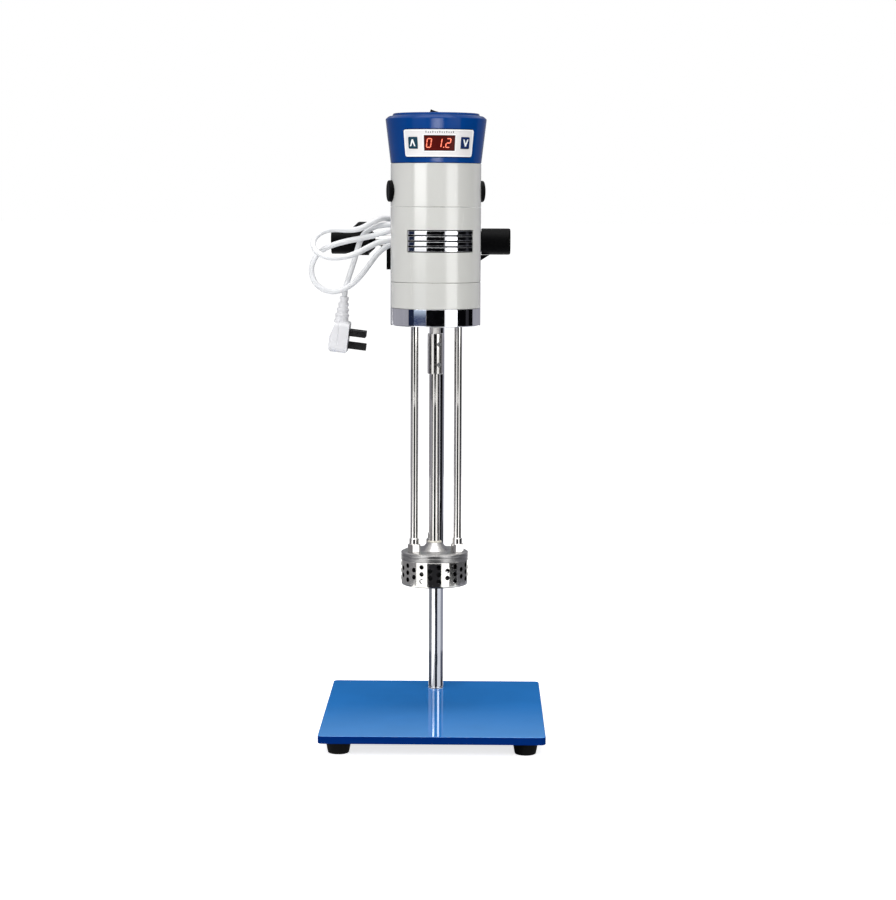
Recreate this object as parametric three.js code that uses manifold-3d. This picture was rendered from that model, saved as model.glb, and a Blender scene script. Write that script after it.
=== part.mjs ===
// Laboratory homogenizer on a bench stand. A motor head slides and swivels on a chromed post.
// Under it, three rods carry a perforated stator, and a long shaft turns the clawed rotor inside.
// Millimetres, +Z up, the front towards -Y, the origin on the bench under the plate's middle.

import * as THREE from 'three';
import { mergeVertices } from 'three/addons/utils/BufferGeometryUtils.js';
import Module from 'manifold-3d';

const wasm = await Module();
wasm.setup();

// Clearances
const GAP = 0.3;
const OVERRUN = 3;

// Side counts of the round faces
const WIDE_SIDES = 36;
const BODY_SIDES = 24;
const ROD_SIDES = 16;
const PIN_SIDES = 8;
const FOOT_SIDES = 12;

// Base plate, feet and post
const PLATE_WIDTH = 228;
const PLATE_DEPTH = 267;
const PLATE_THICK = 8;
const PLATE_CORNER = 5;
const FOOT_HEIGHT = 13;
const FOOT_RADIUS = 13;
const FOOT_BASE_RADIUS = 9.5;
const FOOT_ROUND = 4;
const FOOT_INSET = 20;
const FOOT_RECESS_RADIUS = 4;
const FOOT_RECESS_DEPTH = 3;
const STUD_RADIUS = 2.5;
const STUD_LENGTH = 5;
const POST_RADIUS = 8;
const POST_Y = 102;
const POST_EDGE = 35;
const POST_TOP = 640;
const POST_CHAMFER = 1;
const POST_BOLT_RADIUS = 4;
const POST_BOLT_DEPTH = 18;
const POST_BOLT_FLATS = 13;
const POST_BOLT_HEAD = 5.5;
const POST_FLANGE_RADIUS = 13;
const POST_FLANGE_THICK = 1;

// Work head: stator, cover, rotor and what holds them
const STATOR_BASE = 154;
const STATOR_RADIUS = 35;
const STATOR_WALL = 3;
const STATOR_HEIGHT = 26.5;
const STATOR_ROUND = 2;
const INTAKE_RADIUS = 24;
const INTAKE_LIP = 2.5;
const HOLE_COLUMNS = 24;
const HOLE_FIRST_ANGLE = 8.5;
const HOLE_RADIUS = 2.25;
const HOLE_PITCH = 7.45;
const HOLE_SIDES = 6;
const COVER_HEIGHT = 8.5;
const COVER_ROUND = 2.5;
const COVER_GROOVE = 0.8;
const COVER_SPIGOT = 3;
const CONE_HEIGHT = 8.5;
const CONE_BASE_RADIUS = 15;
const CONE_TOP_RADIUS = 7.6;
const BUSH_WALL = 1.6;
const BUSH_TOP = 1.2;
const SHAFT_RADIUS = 5;
const ROD_RADIUS = 4;
const ROD_CIRCLE_RADIUS = 26;
const ROD_COUNT = 3;
const ROD_TURN = 6;
const ROD_HEX_FLATS = 12;
const ROD_HEX_HEIGHT = 8.5;
const ROD_COLLAR_RADIUS = 5;
const ROD_COLLAR_HEIGHT = 6;
const ROD_SEAT_DEPTH = 9;
const ROTOR_CLEARANCE = 0.4;
const ROTOR_CLAWS = 6;
const ROTOR_CLAW_WALL = 3.4;
const ROTOR_CLAW_HEIGHT = 12;
const ROTOR_CLAW_SPREAD_ANGLE = 34;
const ROTOR_DISC_HEIGHT = 4;
const ROTOR_HUB_RADIUS = 9;
const ROTOR_LIFT = 5;
const ROTOR_PORT_RADIUS = 4;
const ROTOR_PORT_CIRCLE = 18;
const ROTOR_NUT_FLATS = 13;
const ROTOR_NUT_HEIGHT = 6;

// Motor head, from the chromed end ring upwards
const HEAD_BASE = 424.4;
const HEAD_RADIUS = 46.5;
const SHELL_WALL = 3.5;
const RING_BEVEL = 3.4;
const RING_HEIGHT = 14.7;
const RING_FLOOR = 12;
const LOWER_HEIGHT = 26.7;
const MIDDLE_HEIGHT = 76.7;
const UPPER_HEIGHT = 44.3;
const UPPER_DECK = 13;
const SEAM_CHAMFER = 0.5;
const CAP_HEIGHT = 45;
const CAP_RIM_RADIUS = 51.9;
const CAP_SHOULDER = 3;
const CAP_SHOULDER_RADIUS = 48.4;
const CROWN_HEIGHT = 2.8;
const CROWN_RADIUS = 44.5;
const CAP_WALL = 2.6;
const CAP_TOP = 3.2;

// Vent window and its polished grille
const VENT_BOTTOM = 30.9;
const VENT_HEIGHT = 22.8;
const VENT_LEFT_ANGLE = -37.8;
const VENT_RIGHT_ANGLE = 56.5;
const GRILLE_DEPTH = 2.2;
const GRILLE_RIM = 2.4;
const GRILLE_SLATS = 4;
const GRILLE_SLAT_HEIGHT = 3.1;
const GRILLE_STEPS = 7;

// Display panel wrapped round the cap
const PANEL_TURN = 5.8;
const PANEL_SPREAD_ANGLE = 43.8;
const PANEL_BOTTOM = 6.2;
const PANEL_HEIGHT = 27.1;
const PANEL_THICK = 1.2;
const WINDOW_TURN = 0.4;
const WINDOW_SPREAD_ANGLE = 18.3;
const WINDOW_BOTTOM = 12.4;
const WINDOW_HEIGHT = 15.2;
const MODULE_DEPTH = 7;
const BOARD_THICK = 1.6;
const BOARD_WIDTH = 42;
const BOARD_HEIGHT = 26;
const KEY_TURN = 31.5;
const KEY_WIDTH = 9.8;
const KEY_HEIGHT = 11.3;
const KEY_DEPTH = 4.5;
const KEY_PROUD = 0.9;
const KEY_RISE = 13.8;

// Power rocker on the crown
const ROCKER_X = 2;
const ROCKER_LENGTH = 19;
const ROCKER_WIDTH = 11;
const ROCKER_HEIGHT = 9;
const ROCKER_TILT = 12;
const ROCKER_SINK = 2.3;
const ROCKER_FRAME_WALL = 1.6;
const ROCKER_FRAME_LIP = 1.8;
const ROCKER_FRAME_RISE = 1;
const ROCKER_FRAME_DEPTH = 11;
const ROCKER_DISH = 1.5;

// Motor inside the head
const SPINDLE_RADIUS = 5.5;
const SPINDLE_DROP = 29;
const SPINDLE_END = 0.5;
const BEARING_RADIUS = 14;
const BEARING_HEIGHT = 8;
const FIELD_BOTTOM = 56;
const FIELD_HEIGHT = 50;
const FIELD_BORE = 24;
const FIELD_WINDOW = 12;
const FIELD_WINDOW_ANGLE = 42;
const COIL_RISE = 9;
const COIL_WALL = 9;
const COIL_SPREAD_ANGLE = 44;
const AIR_GAP = 0.6;
const ARMATURE_SLOTS = 12;
const ARMATURE_SLOT_WIDTH = 3;
const ARMATURE_SLOT_DEPTH = 9;
const WINDING_RADIUS = 19;
const WINDING_HEIGHT = 12;
const COMMUTATOR_RADIUS = 13;
const COMMUTATOR_HEIGHT = 20;
const FAN_RADIUS = 38;
const FAN_BOTTOM = 22;
const FAN_HEIGHT = 12;
const FAN_DISC = 2;
const FAN_BLADES = 9;
const FAN_BLADE_WALL = 2;
const FAN_HUB_RADIUS = 11;

// Carbon brushes, on a line turned from the front plane
const BRUSH_TURN = 12;
const BRUSH_LEVEL = 137.7;
const BRUSH_WIDTH = 6;
const BRUSH_LENGTH = 14;
const HOLDER_RADIUS = 6.2;
const HOLDER_START = 16;
const BRUSH_CAP_RADIUS = 11;
const BRUSH_CAP_PROUD = 3.7;
const BRUSH_CAP_SEAT = 2.2;
const BRUSH_CAP_SLOT = 2;
const SPRING_RADIUS = 2.6;
const SPRING_WIRE = 0.5;
const SPRING_TURNS = 3;
const SPRING_STEPS = 7;
const SPRING_SIDES = 5;

// Coupling between the spindle and the long shaft
const COUPLING_RADIUS = 8;
const COUPLING_DROP = 50.4;
const COUPLING_LENGTH = 42.1;
const SET_SCREW_RADIUS = 2.4;
const SET_SCREW_TURN = 34;
const SET_SCREW_LEVELS = [9.7, 30.9];
const SET_SCREW_SUNK = 0.6;

// Clamp that carries the head on the post
const CLAMP_LEVEL = 84.8;
const SLEEVE_RADIUS = 17;
const SLEEVE_BELOW = 30.4;
const SLEEVE_ABOVE = 30;
const LINER_WALL = 3;
const LINER_LIP = 1.5;
const SADDLE_WALL = 7;
const SADDLE_BOTTOM = 53.6;
const SADDLE_HEIGHT = 24;
const SADDLE_SPREAD_ANGLE = 34;
const ARM_WIDTH = 32;
const ARM_HEIGHT = 18;
const BARREL_RADIUS = 11;
const BARREL_END = 56;
const BOSS_RADIUS = 9.5;
const BOSS_END = 46;
const WEB_THICK = 9;
const WEB_LEFT = 54.6;
const WEB_RIGHT = 56;
const WEB_LEFT_TOP = 6.7;
const WEB_TONGUE = 6.4;
const WEB_TONGUE_THICK = 2.1;
const WEB_SLOPE = 6;
const WEB_DROP = 30.4;
const GRIP_RADIUS = 14.1;
const GRIP_START = 47;
const GRIP_END = 78.5;
const GRIP_ROUND = 2.5;
const SCREW_RADIUS = 5.5;
const SCREW_SHANK_RADIUS = 6.2;
const KNOB_LOBE_RADIUS = 20.6;
const KNOB_WAIST_RADIUS = 14.5;
const KNOB_LOBES = 3;
const KNOB_STEPS = 36;
const KNOB_BOSS_X = 66.5;
const KNOB_BOSS_RADIUS = 7.5;
const KNOB_INNER_X = 73.7;
const KNOB_LOBE_X = 91.6;
const KNOB_OUTER_X = 114;
const KNOB_HUB_RADIUS = 14;
const KNOB_ROUND = 1.5;
const KNOB_SLANT = 6.9;
const KNOB_SOCKET = 20;
const CARRIER_SCREW_RADIUS = 3;
const CARRIER_SCREW_HEAD_RADIUS = 4.6;
const CARRIER_SCREW_HEAD = 3.4;
const CARRIER_SCREW_TURN = 27;
const CARRIER_SCREW_LEVEL = 65.6;

// Mains lead, its gland and its plug
const LEAD_RADIUS = 3;
const LEAD_SIDES = 6;
const LEAD_STEPS = 112;
const GLAND_TURN = 14;
const GLAND_LEVEL = 145.6;
const GLAND_RADIUS = 6.2;
const GLAND_TIP_RADIUS = 4.3;
const GLAND_LENGTH = 32;
const GLAND_COLLAR_RADIUS = 8;
const GLAND_COLLAR = 4;
const GLAND_RIBS = 3;
const GLAND_RIB_DEPTH = 0.9;
const PLUG_TURN = 7;
const PLUG_RELIEF_LENGTH = 26;
const PLUG_RELIEF_TIP_RADIUS = 4.9;
const PLUG_RELIEF_RADIUS = 8.5;
const PLUG_BACK = 10;
const PLUG_FRONT = 9.9;
const PLUG_HEIGHT = 33;
const PLUG_WIDTH = 38;
const PLUG_CORNER = 6;
const PIN_LENGTH = 18.1;
const PIN_WIDTH = 7;
const PIN_THICK = 4;
const PIN_SPACING = 20;
const PIN_DROP = 11;
const EARTH_LENGTH = 19.8;
const EARTH_WIDTH = 8;
const EARTH_DROP = 24.5;
const PIN_SEAT = 3;
const PLUG_BEVEL = 3;
const PLUG_RIBS = 3;
const PLUG_PLACE = [-98.3, 72, 450.5];

// Finishes
const BLUE_PAINT = { color: 0x1b55a8, roughness: 0.28, metalness: 0.0 };
const BLUE_CAP = { color: 0x114a94, roughness: 0.35, metalness: 0.0 };
const CREAM_PAINT = { color: 0xd4d4ce, roughness: 0.4, metalness: 0.0 };
const CHROME = { color: 0xd8dade, roughness: 0.08, metalness: 1.0 };
const STEEL = { color: 0xb9b8b2, roughness: 0.3, metalness: 1.0 };
const DARK_STEEL = { color: 0x55585c, roughness: 0.45, metalness: 1.0 };
const BLACK_PLASTIC = { color: 0x121214, roughness: 0.5, metalness: 0.0 };
const BLACK_PAINT = { color: 0x17181a, roughness: 0.55, metalness: 0.1 };
const RUBBER = { color: 0x141414, roughness: 0.85, metalness: 0.0 };
const WHITE_PANEL = { color: 0xf1eeee, roughness: 0.35, metalness: 0.0 };
const WINDOW_RED = { color: 0x3a0605, roughness: 0.15, metalness: 0.0 };
const KEY_BLUE = { color: 0x0f4a74, roughness: 0.4, metalness: 0.0 };
const BOARD_GREEN = { color: 0x1d5a37, roughness: 0.55, metalness: 0.0 };
const COPPER = { color: 0xb4643a, roughness: 0.35, metalness: 1.0 };
const CARBON = { color: 0x2a2a2c, roughness: 0.8, metalness: 0.0 };
const NYLON = { color: 0xe9e6dc, roughness: 0.5, metalness: 0.0 };
const WHITE_PVC = { color: 0xf0f0f0, roughness: 0.4, metalness: 0.0 };

const radians = THREE.MathUtils.degToRad;

// Solids: closed meshes with merged corners, outward faces and no empty triangles

function cornerList(geometry) {
  const bare = geometry.clone();
  bare.deleteAttribute('normal');
  bare.deleteAttribute('uv');
  const merged = mergeVertices(bare);
  const places = merged.getAttribute('position').array;
  const index = merged.index.array;
  const triangles = [];
  for (let i = 0; i < index.length; i += 3) {
    const [a, b, c] = [index[i], index[i + 1], index[i + 2]];
    if (a !== b && b !== c && c !== a) triangles.push([a, b, c]);
  }
  return { places, triangles };
}

function signedVolume(places, triangles) {
  const corner = (i) => new THREE.Vector3().fromArray(places, 3 * i);
  let sum = 0;
  for (const [a, b, c] of triangles) sum += corner(a).dot(corner(b).cross(corner(c)));
  return sum;
}

function toSolid(geometry) {
  const { places, triangles } = cornerList(geometry);
  const inward = signedVolume(places, triangles) < 0;
  const turned = triangles.map(([a, b, c]) => (inward ? [a, c, b] : [a, b, c]));
  return new wasm.Manifold(new wasm.Mesh({
    numProp: 3,
    vertProperties: new Float32Array(places),
    triVerts: new Uint32Array(turned.flat()),
  }));
}

function toGeometry(solid) {
  const mesh = solid.getMesh();
  const geometry = new THREE.BufferGeometry();
  geometry.setAttribute('position', new THREE.BufferAttribute(mesh.vertProperties, 3));
  geometry.setIndex(new THREE.BufferAttribute(mesh.triVerts, 1));
  geometry.computeVertexNormals();
  return geometry;
}

function join(...pieces) {
  return toGeometry(pieces.map(toSolid).reduce((whole, piece) => whole.add(piece)));
}

function cut(base, ...tools) {
  return toGeometry(tools.map(toSolid).reduce((whole, tool) => whole.subtract(tool), toSolid(base)));
}

function common(first, second) {
  return toGeometry(toSolid(first).intersect(toSolid(second)));
}

// Basic shapes, each closed and standing along +Z unless its name says otherwise

function revolve(outline, sides) {
  const points = outline.map(([r, z]) => new THREE.Vector2(r, z));
  return new THREE.LatheGeometry(points, sides).rotateX(Math.PI / 2);
}

function rod(radius, bottom, top, sides = ROD_SIDES) {
  return revolve([[0, bottom], [radius, bottom], [radius, top], [0, top]], sides);
}

function tube(outer, inner, bottom, top, sides = ROD_SIDES) {
  const outline = [[inner, bottom], [outer, bottom], [outer, top], [inner, top], [inner, bottom]];
  return revolve(outline, sides);
}

function block(low, high) {
  const size = high.map((value, axis) => value - low[axis]);
  const middle = high.map((value, axis) => (value + low[axis]) / 2);
  return new THREE.BoxGeometry(...size).translate(...middle);
}

function prism(shape, bottom, top, curveSegments) {
  const geometry = new THREE.ExtrudeGeometry(shape, {
    depth: top - bottom,
    bevelEnabled: false,
    steps: 1,
    curveSegments,
  });
  return geometry.translate(0, 0, bottom);
}

function hexagon(flats, bottom, top) {
  return rod(flats / Math.sqrt(3), bottom, top, 6);
}

function roundedRectangle(width, depth, corner) {
  const [x, y] = [width / 2, depth / 2];
  const shape = new THREE.Shape();
  shape.moveTo(-x + corner, -y);
  shape.lineTo(x - corner, -y);
  shape.absarc(x - corner, -y + corner, corner, -Math.PI / 2, 0);
  shape.lineTo(x, y - corner);
  shape.absarc(x - corner, y - corner, corner, 0, Math.PI / 2);
  shape.lineTo(-x + corner, y);
  shape.absarc(-x + corner, y - corner, corner, Math.PI / 2, Math.PI);
  shape.lineTo(-x, -y + corner);
  shape.absarc(-x + corner, -y + corner, corner, Math.PI, 1.5 * Math.PI);
  return shape;
}

// A slice of a wall round the Z axis. Angles are counted from the front, towards +X.
function sector(inner, outer, left, right, bottom, top, steps) {
  const from = radians(left) - Math.PI / 2;
  const to = radians(right) - Math.PI / 2;
  const shape = new THREE.Shape();
  shape.absarc(0, 0, outer, from, to, false);
  shape.lineTo(inner * Math.cos(to), inner * Math.sin(to));
  shape.absarc(0, 0, inner, to, from, true);
  shape.closePath();
  return prism(shape, bottom, top, steps);
}

// Lays a shape that stands along +Z down, so that it points along +X
function alongX(geometry) {
  return geometry.rotateY(Math.PI / 2);
}

// Turns a shape that points along +X to an angle counted from the front, towards +X
function facing(geometry, angle) {
  return geometry.rotateZ(radians(angle) - Math.PI / 2);
}

// Quarter circle from one outline point to another, as extra outline points
function quarter(centre, radius, from, steps) {
  return Array.from({ length: steps + 1 }, (_, i) => {
    const angle = radians(from) + (Math.PI / 2) * (i / steps);
    return [centre[0] + radius * Math.cos(angle), centre[1] + radius * Math.sin(angle)];
  });
}

// Scene graph: the stand, the work head, the motor head and the clamp each have a group

function groupAt(parent, x, y, z) {
  const group = new THREE.Group();
  group.position.set(x, y, z);
  parent.add(group);
  return group;
}

function add(parent, name, geometry, finish) {
  const mesh = new THREE.Mesh(geometry, new THREE.MeshStandardMaterial(finish));
  mesh.name = name;
  parent.add(mesh);
  return mesh;
}

const homogenizer = new THREE.Group();
homogenizer.name = 'laboratory_homogenizer';

// Stand

const footX = PLATE_WIDTH / 2 - FOOT_INSET;
const footY = PLATE_DEPTH / 2 - FOOT_INSET;
const plateMiddle = POST_Y + POST_EDGE - PLATE_DEPTH / 2;
const FOOT_PLACES = {
  foot_front_left: [-footX, plateMiddle - footY],
  foot_front_right: [footX, plateMiddle - footY],
  foot_rear_left: [-footX, plateMiddle + footY],
  foot_rear_right: [footX, plateMiddle + footY],
};
const postBase = FOOT_HEIGHT + GAP;
const postSpigot = POST_RADIUS - SEAM_CHAMFER - GAP;

function basePlate() {
  const outline = roundedRectangle(PLATE_WIDTH, PLATE_DEPTH, PLATE_CORNER);
  const plate = prism(outline, FOOT_HEIGHT, FOOT_HEIGHT + PLATE_THICK, 4)
    .translate(0, plateMiddle, 0);
  const studHoles = Object.values(FOOT_PLACES).map(([x, y]) =>
    rod(STUD_RADIUS + GAP, FOOT_HEIGHT - OVERRUN, FOOT_HEIGHT + STUD_LENGTH + GAP, PIN_SIDES)
      .translate(x, y, 0));
  const top = FOOT_HEIGHT + PLATE_THICK + OVERRUN;
  const postHole = rod(postSpigot + GAP, FOOT_HEIGHT - OVERRUN, top).translate(0, POST_Y, 0);
  return cut(plate, ...studHoles, postHole);
}

function foot() {
  const corner = [FOOT_BASE_RADIUS, FOOT_ROUND];
  const bonded = FOOT_HEIGHT - GAP;
  return revolve([
    [0, FOOT_RECESS_DEPTH],
    [FOOT_RECESS_RADIUS, FOOT_RECESS_DEPTH],
    [FOOT_RECESS_RADIUS, 0],
    ...quarter(corner, FOOT_ROUND, -90, 3).slice(0, 3),
    [FOOT_RADIUS, bonded],
    [STUD_RADIUS, bonded],
    [STUD_RADIUS, FOOT_HEIGHT + STUD_LENGTH],
    [0, FOOT_HEIGHT + STUD_LENGTH],
  ], FOOT_SIDES);
}

function post() {
  const seat = FOOT_HEIGHT + PLATE_THICK + GAP;
  const drill = postBase + POST_BOLT_DEPTH;
  return revolve([
    [0, drill],
    [POST_BOLT_RADIUS + GAP, drill],
    [POST_BOLT_RADIUS + GAP, postBase],
    [postSpigot, postBase],
    [postSpigot, seat],
    [POST_RADIUS, seat],
    [POST_RADIUS, POST_TOP - POST_CHAMFER],
    [POST_RADIUS - POST_CHAMFER, POST_TOP],
    [0, POST_TOP],
  ], BODY_SIDES);
}

function postBolt() {
  const headTop = FOOT_HEIGHT - GAP;
  const flange = revolve([
    [0, headTop - POST_FLANGE_THICK],
    [POST_FLANGE_RADIUS, headTop - POST_FLANGE_THICK],
    [POST_FLANGE_RADIUS, headTop],
    [0, headTop],
  ], ROD_SIDES);
  const head = hexagon(POST_BOLT_FLATS, headTop - POST_BOLT_HEAD, headTop);
  const stem = rod(POST_BOLT_RADIUS, headTop - GAP, postBase + POST_BOLT_DEPTH - GAP, PIN_SIDES);
  return join(flange, head, stem);
}

function makeStand() {
  const stand = groupAt(homogenizer, 0, 0, 0);
  add(stand, 'base_plate', basePlate(), BLUE_PAINT);
  for (const [name, [x, y]] of Object.entries(FOOT_PLACES)) {
    add(stand, name, toGeometry(toSolid(foot())), RUBBER).position.set(x, y, 0);
  }
  add(stand, 'post', toGeometry(toSolid(post())), CHROME).position.set(0, POST_Y, 0);
  add(stand, 'post_bolt', postBolt(), STEEL).position.set(0, POST_Y, 0);
}

// Work head. Its group stands at the stator's lower edge.

const coverBottom = STATOR_HEIGHT + GAP;
const coverTop = coverBottom + COVER_HEIGHT;
const statorBore = STATOR_RADIUS - STATOR_WALL;
const spigotRadius = statorBore - GAP;
const bushRadius = SHAFT_RADIUS + GAP + BUSH_WALL;
const rotorRadius = statorBore - ROTOR_CLEARANCE;
const rotorTop = ROTOR_LIFT + ROTOR_CLAW_HEIGHT + ROTOR_DISC_HEIGHT;
const rodAngles = Array.from({ length: ROD_COUNT }, (_, i) => ROD_TURN + (360 / ROD_COUNT) * (i - 1 / 2));

function perforatedStator() {
  const round = quarter([STATOR_RADIUS - STATOR_ROUND, STATOR_ROUND], STATOR_ROUND, -90, 3);
  const cup = revolve([
    [INTAKE_RADIUS, 0],
    ...round,
    [STATOR_RADIUS, STATOR_HEIGHT],
    [statorBore, STATOR_HEIGHT],
    [statorBore, INTAKE_LIP],
    [INTAKE_RADIUS, INTAKE_LIP],
    [INTAKE_RADIUS, 0],
  ], HOLE_COLUMNS);
  const faced = cup.rotateZ(radians(HOLE_FIRST_ANGLE - 180 / HOLE_COLUMNS));
  const drills = [];
  const middle = STATOR_HEIGHT / 2;
  for (let column = 0; column < HOLE_COLUMNS; column += 1) {
    const levels = column % 2 ? [-1, 0, 1] : [-1 / 2, 1 / 2];
    const angle = HOLE_FIRST_ANGLE + (360 / HOLE_COLUMNS) * (column - 1);
    for (const level of levels) {
      const drill = alongX(rod(HOLE_RADIUS, statorBore - OVERRUN, STATOR_RADIUS + OVERRUN, HOLE_SIDES));
      drills.push(facing(drill, angle).translate(0, 0, middle + level * HOLE_PITCH));
    }
  }
  return cut(faced, ...drills);
}

function statorCover() {
  const bore = bushRadius + GAP;
  const groove = coverBottom + COVER_HEIGHT / 2;
  const disc = revolve([
    [bore, coverBottom - COVER_SPIGOT],
    [spigotRadius, coverBottom - COVER_SPIGOT],
    [spigotRadius, coverBottom],
    [STATOR_RADIUS, coverBottom],
    [STATOR_RADIUS, groove - COVER_GROOVE / 2],
    [STATOR_RADIUS - COVER_GROOVE, groove],
    [STATOR_RADIUS, groove + COVER_GROOVE / 2],
    [STATOR_RADIUS, coverTop - COVER_ROUND / 2],
    [STATOR_RADIUS - COVER_ROUND, coverTop],
    [CONE_BASE_RADIUS, coverTop],
    [CONE_TOP_RADIUS, coverTop + CONE_HEIGHT],
    [bore, coverTop + CONE_HEIGHT],
    [bore, coverBottom - COVER_SPIGOT],
  ], BODY_SIDES);
  const rodHoles = rodAngles.map((angle) =>
    facing(rod(ROD_RADIUS + GAP, 0, coverTop + OVERRUN).translate(ROD_CIRCLE_RADIUS, 0, 0), angle));
  return cut(disc, ...rodHoles);
}

function shaftBush() {
  const top = coverTop + CONE_HEIGHT;
  return revolve([
    [SHAFT_RADIUS + GAP, coverBottom - COVER_SPIGOT],
    [bushRadius, coverBottom - COVER_SPIGOT],
    [bushRadius, top + GAP],
    [CONE_TOP_RADIUS, top + GAP],
    [CONE_TOP_RADIUS - BUSH_TOP / 2, top + GAP + BUSH_TOP],
    [SHAFT_RADIUS + GAP, top + GAP + BUSH_TOP],
    [SHAFT_RADIUS + GAP, coverBottom - COVER_SPIGOT],
  ], ROD_SIDES);
}

function supportRod() {
  const seat = coverTop + GAP;
  const hexTop = seat + ROD_HEX_HEIGHT;
  const top = HEAD_BASE - STATOR_BASE + ROD_SEAT_DEPTH - GAP;
  const stem = rod(ROD_RADIUS, coverBottom, top);
  const hex = hexagon(ROD_HEX_FLATS, seat, hexTop);
  const collar = rod(ROD_COLLAR_RADIUS, hexTop - GAP, hexTop + ROD_COLLAR_HEIGHT, PIN_SIDES);
  return join(stem, hex, collar);
}

// One claw: a slice of the rim with its leading side cut back to a slope
function rotorClaw(angle) {
  const half = ROTOR_CLAW_SPREAD_ANGLE / 2;
  const bottom = ROTOR_LIFT;
  const top = rotorTop - ROTOR_DISC_HEIGHT / 2;
  const claw = sector(rotorRadius - ROTOR_CLAW_WALL, rotorRadius, -half, half, bottom, top, 3);
  const wedge = new THREE.Shape();
  wedge.moveTo(-ROTOR_CLAW_WALL, bottom - OVERRUN);
  wedge.lineTo(rotorRadius, bottom - OVERRUN);
  wedge.lineTo(rotorRadius, bottom + ROTOR_CLAW_HEIGHT / 2);
  wedge.closePath();
  const slope = prism(wedge, 0, rotorRadius + OVERRUN, 1).rotateX(Math.PI / 2);
  return cut(claw, slope).rotateZ(radians(angle));
}

function clawedRotor() {
  const discBottom = rotorTop - ROTOR_DISC_HEIGHT;
  const nutTop = ROTOR_LIFT + ROTOR_NUT_HEIGHT + GAP;
  const disc = rod(rotorRadius, discBottom, rotorTop, BODY_SIDES);
  const hub = rod(ROTOR_HUB_RADIUS, nutTop, rotorTop);
  const claws = [];
  const ports = [];
  for (let i = 0; i < ROTOR_CLAWS; i += 1) {
    const angle = (360 / ROTOR_CLAWS) * i;
    claws.push(rotorClaw(angle));
    const port = rod(ROTOR_PORT_RADIUS, discBottom - OVERRUN, rotorTop + OVERRUN, PIN_SIDES);
    ports.push(port.translate(ROTOR_PORT_CIRCLE, 0, 0).rotateZ(radians(angle)));
  }
  const bore = rod(SHAFT_RADIUS - SEAM_CHAMFER + GAP, 0, rotorTop + OVERRUN);
  return cut(join(disc, hub, ...claws), ...ports, bore);
}

function rotorNut() {
  const nut = hexagon(ROTOR_NUT_FLATS, ROTOR_LIFT, ROTOR_LIFT + ROTOR_NUT_HEIGHT);
  const bore = rod(SHAFT_RADIUS - SEAM_CHAMFER + GAP, ROTOR_LIFT + SEAM_CHAMFER * 2, rotorTop);
  return cut(nut, bore);
}

const spindleEnd = HEAD_BASE - STATOR_BASE - SPINDLE_DROP;
const shaftTop = spindleEnd - SPINDLE_END;

function longShaft() {
  const end = SHAFT_RADIUS - SEAM_CHAMFER;
  const shoulder = rotorTop + GAP;
  return revolve([
    [0, ROTOR_LIFT + SEAM_CHAMFER * 2 + GAP],
    [end, ROTOR_LIFT + SEAM_CHAMFER * 2 + GAP],
    [end, shoulder],
    [SHAFT_RADIUS, shoulder],
    [SHAFT_RADIUS, shaftTop],
    [0, shaftTop],
  ], ROD_SIDES);
}

function makeWorkHead() {
  const work = groupAt(homogenizer, 0, 0, STATOR_BASE);
  add(work, 'stator_ring', perforatedStator(), STEEL);
  add(work, 'stator_cover', statorCover(), STEEL);
  add(work, 'shaft_bush', toGeometry(toSolid(shaftBush())), NYLON);
  const rodNames = ['support_rod_left', 'support_rod_right', 'support_rod_rear'];
  rodNames.forEach((name, i) => {
    const rodMesh = add(work, name, supportRod(), STEEL);
    const angle = radians(rodAngles[i]);
    rodMesh.position.set(ROD_CIRCLE_RADIUS * Math.sin(angle), -ROD_CIRCLE_RADIUS * Math.cos(angle), 0);
  });
  add(work, 'rotor', clawedRotor(), STEEL);
  add(work, 'rotor_nut', rotorNut(), STEEL);
  add(work, 'drive_shaft', toGeometry(toSolid(longShaft())), STEEL);
}

// Motor head. Its group stands at the chromed ring's lower face.

const ringTop = RING_BEVEL + RING_HEIGHT;
const lowerTop = ringTop + LOWER_HEIGHT;
const middleTop = lowerTop + MIDDLE_HEIGHT;
const upperTop = middleTop + UPPER_HEIGHT;
const capBottom = upperTop + GAP;
const capRim = upperTop + CAP_HEIGHT;
const capTop = capRim + CAP_SHOULDER + CROWN_HEIGHT;
const shellBore = HEAD_RADIUS - SHELL_WALL;
const bearingSeat = BEARING_RADIUS + GAP;
const spindleBore = SPINDLE_RADIUS + GAP;
const capSlope = (CAP_RIM_RADIUS - HEAD_RADIUS) / (CAP_HEIGHT - GAP);

function endRing() {
  const ring = revolve([
    [0, 0],
    [HEAD_RADIUS - RING_BEVEL, 0],
    [HEAD_RADIUS, RING_BEVEL],
    [HEAD_RADIUS, ringTop],
    [shellBore, ringTop],
    [shellBore, RING_FLOOR],
    [0, RING_FLOOR],
  ], WIDE_SIDES);
  const pocket = rod(bearingSeat, RING_FLOOR - BEARING_HEIGHT, RING_FLOOR + OVERRUN);
  const bore = rod(spindleBore + GAP, -OVERRUN, RING_FLOOR);
  const seats = rodAngles.map((angle) =>
    facing(rod(ROD_RADIUS + GAP, -OVERRUN, ROD_SEAT_DEPTH).translate(ROD_CIRCLE_RADIUS, 0, 0), angle));
  return cut(ring, pocket, bore, ...seats);
}

function shell(bottom, top) {
  return revolve([
    [shellBore, bottom],
    [HEAD_RADIUS - SEAM_CHAMFER, bottom],
    [HEAD_RADIUS, bottom + SEAM_CHAMFER],
    [HEAD_RADIUS, top - SEAM_CHAMFER],
    [HEAD_RADIUS - SEAM_CHAMFER, top],
    [shellBore, top],
    [shellBore, bottom],
  ], WIDE_SIDES);
}

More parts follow.
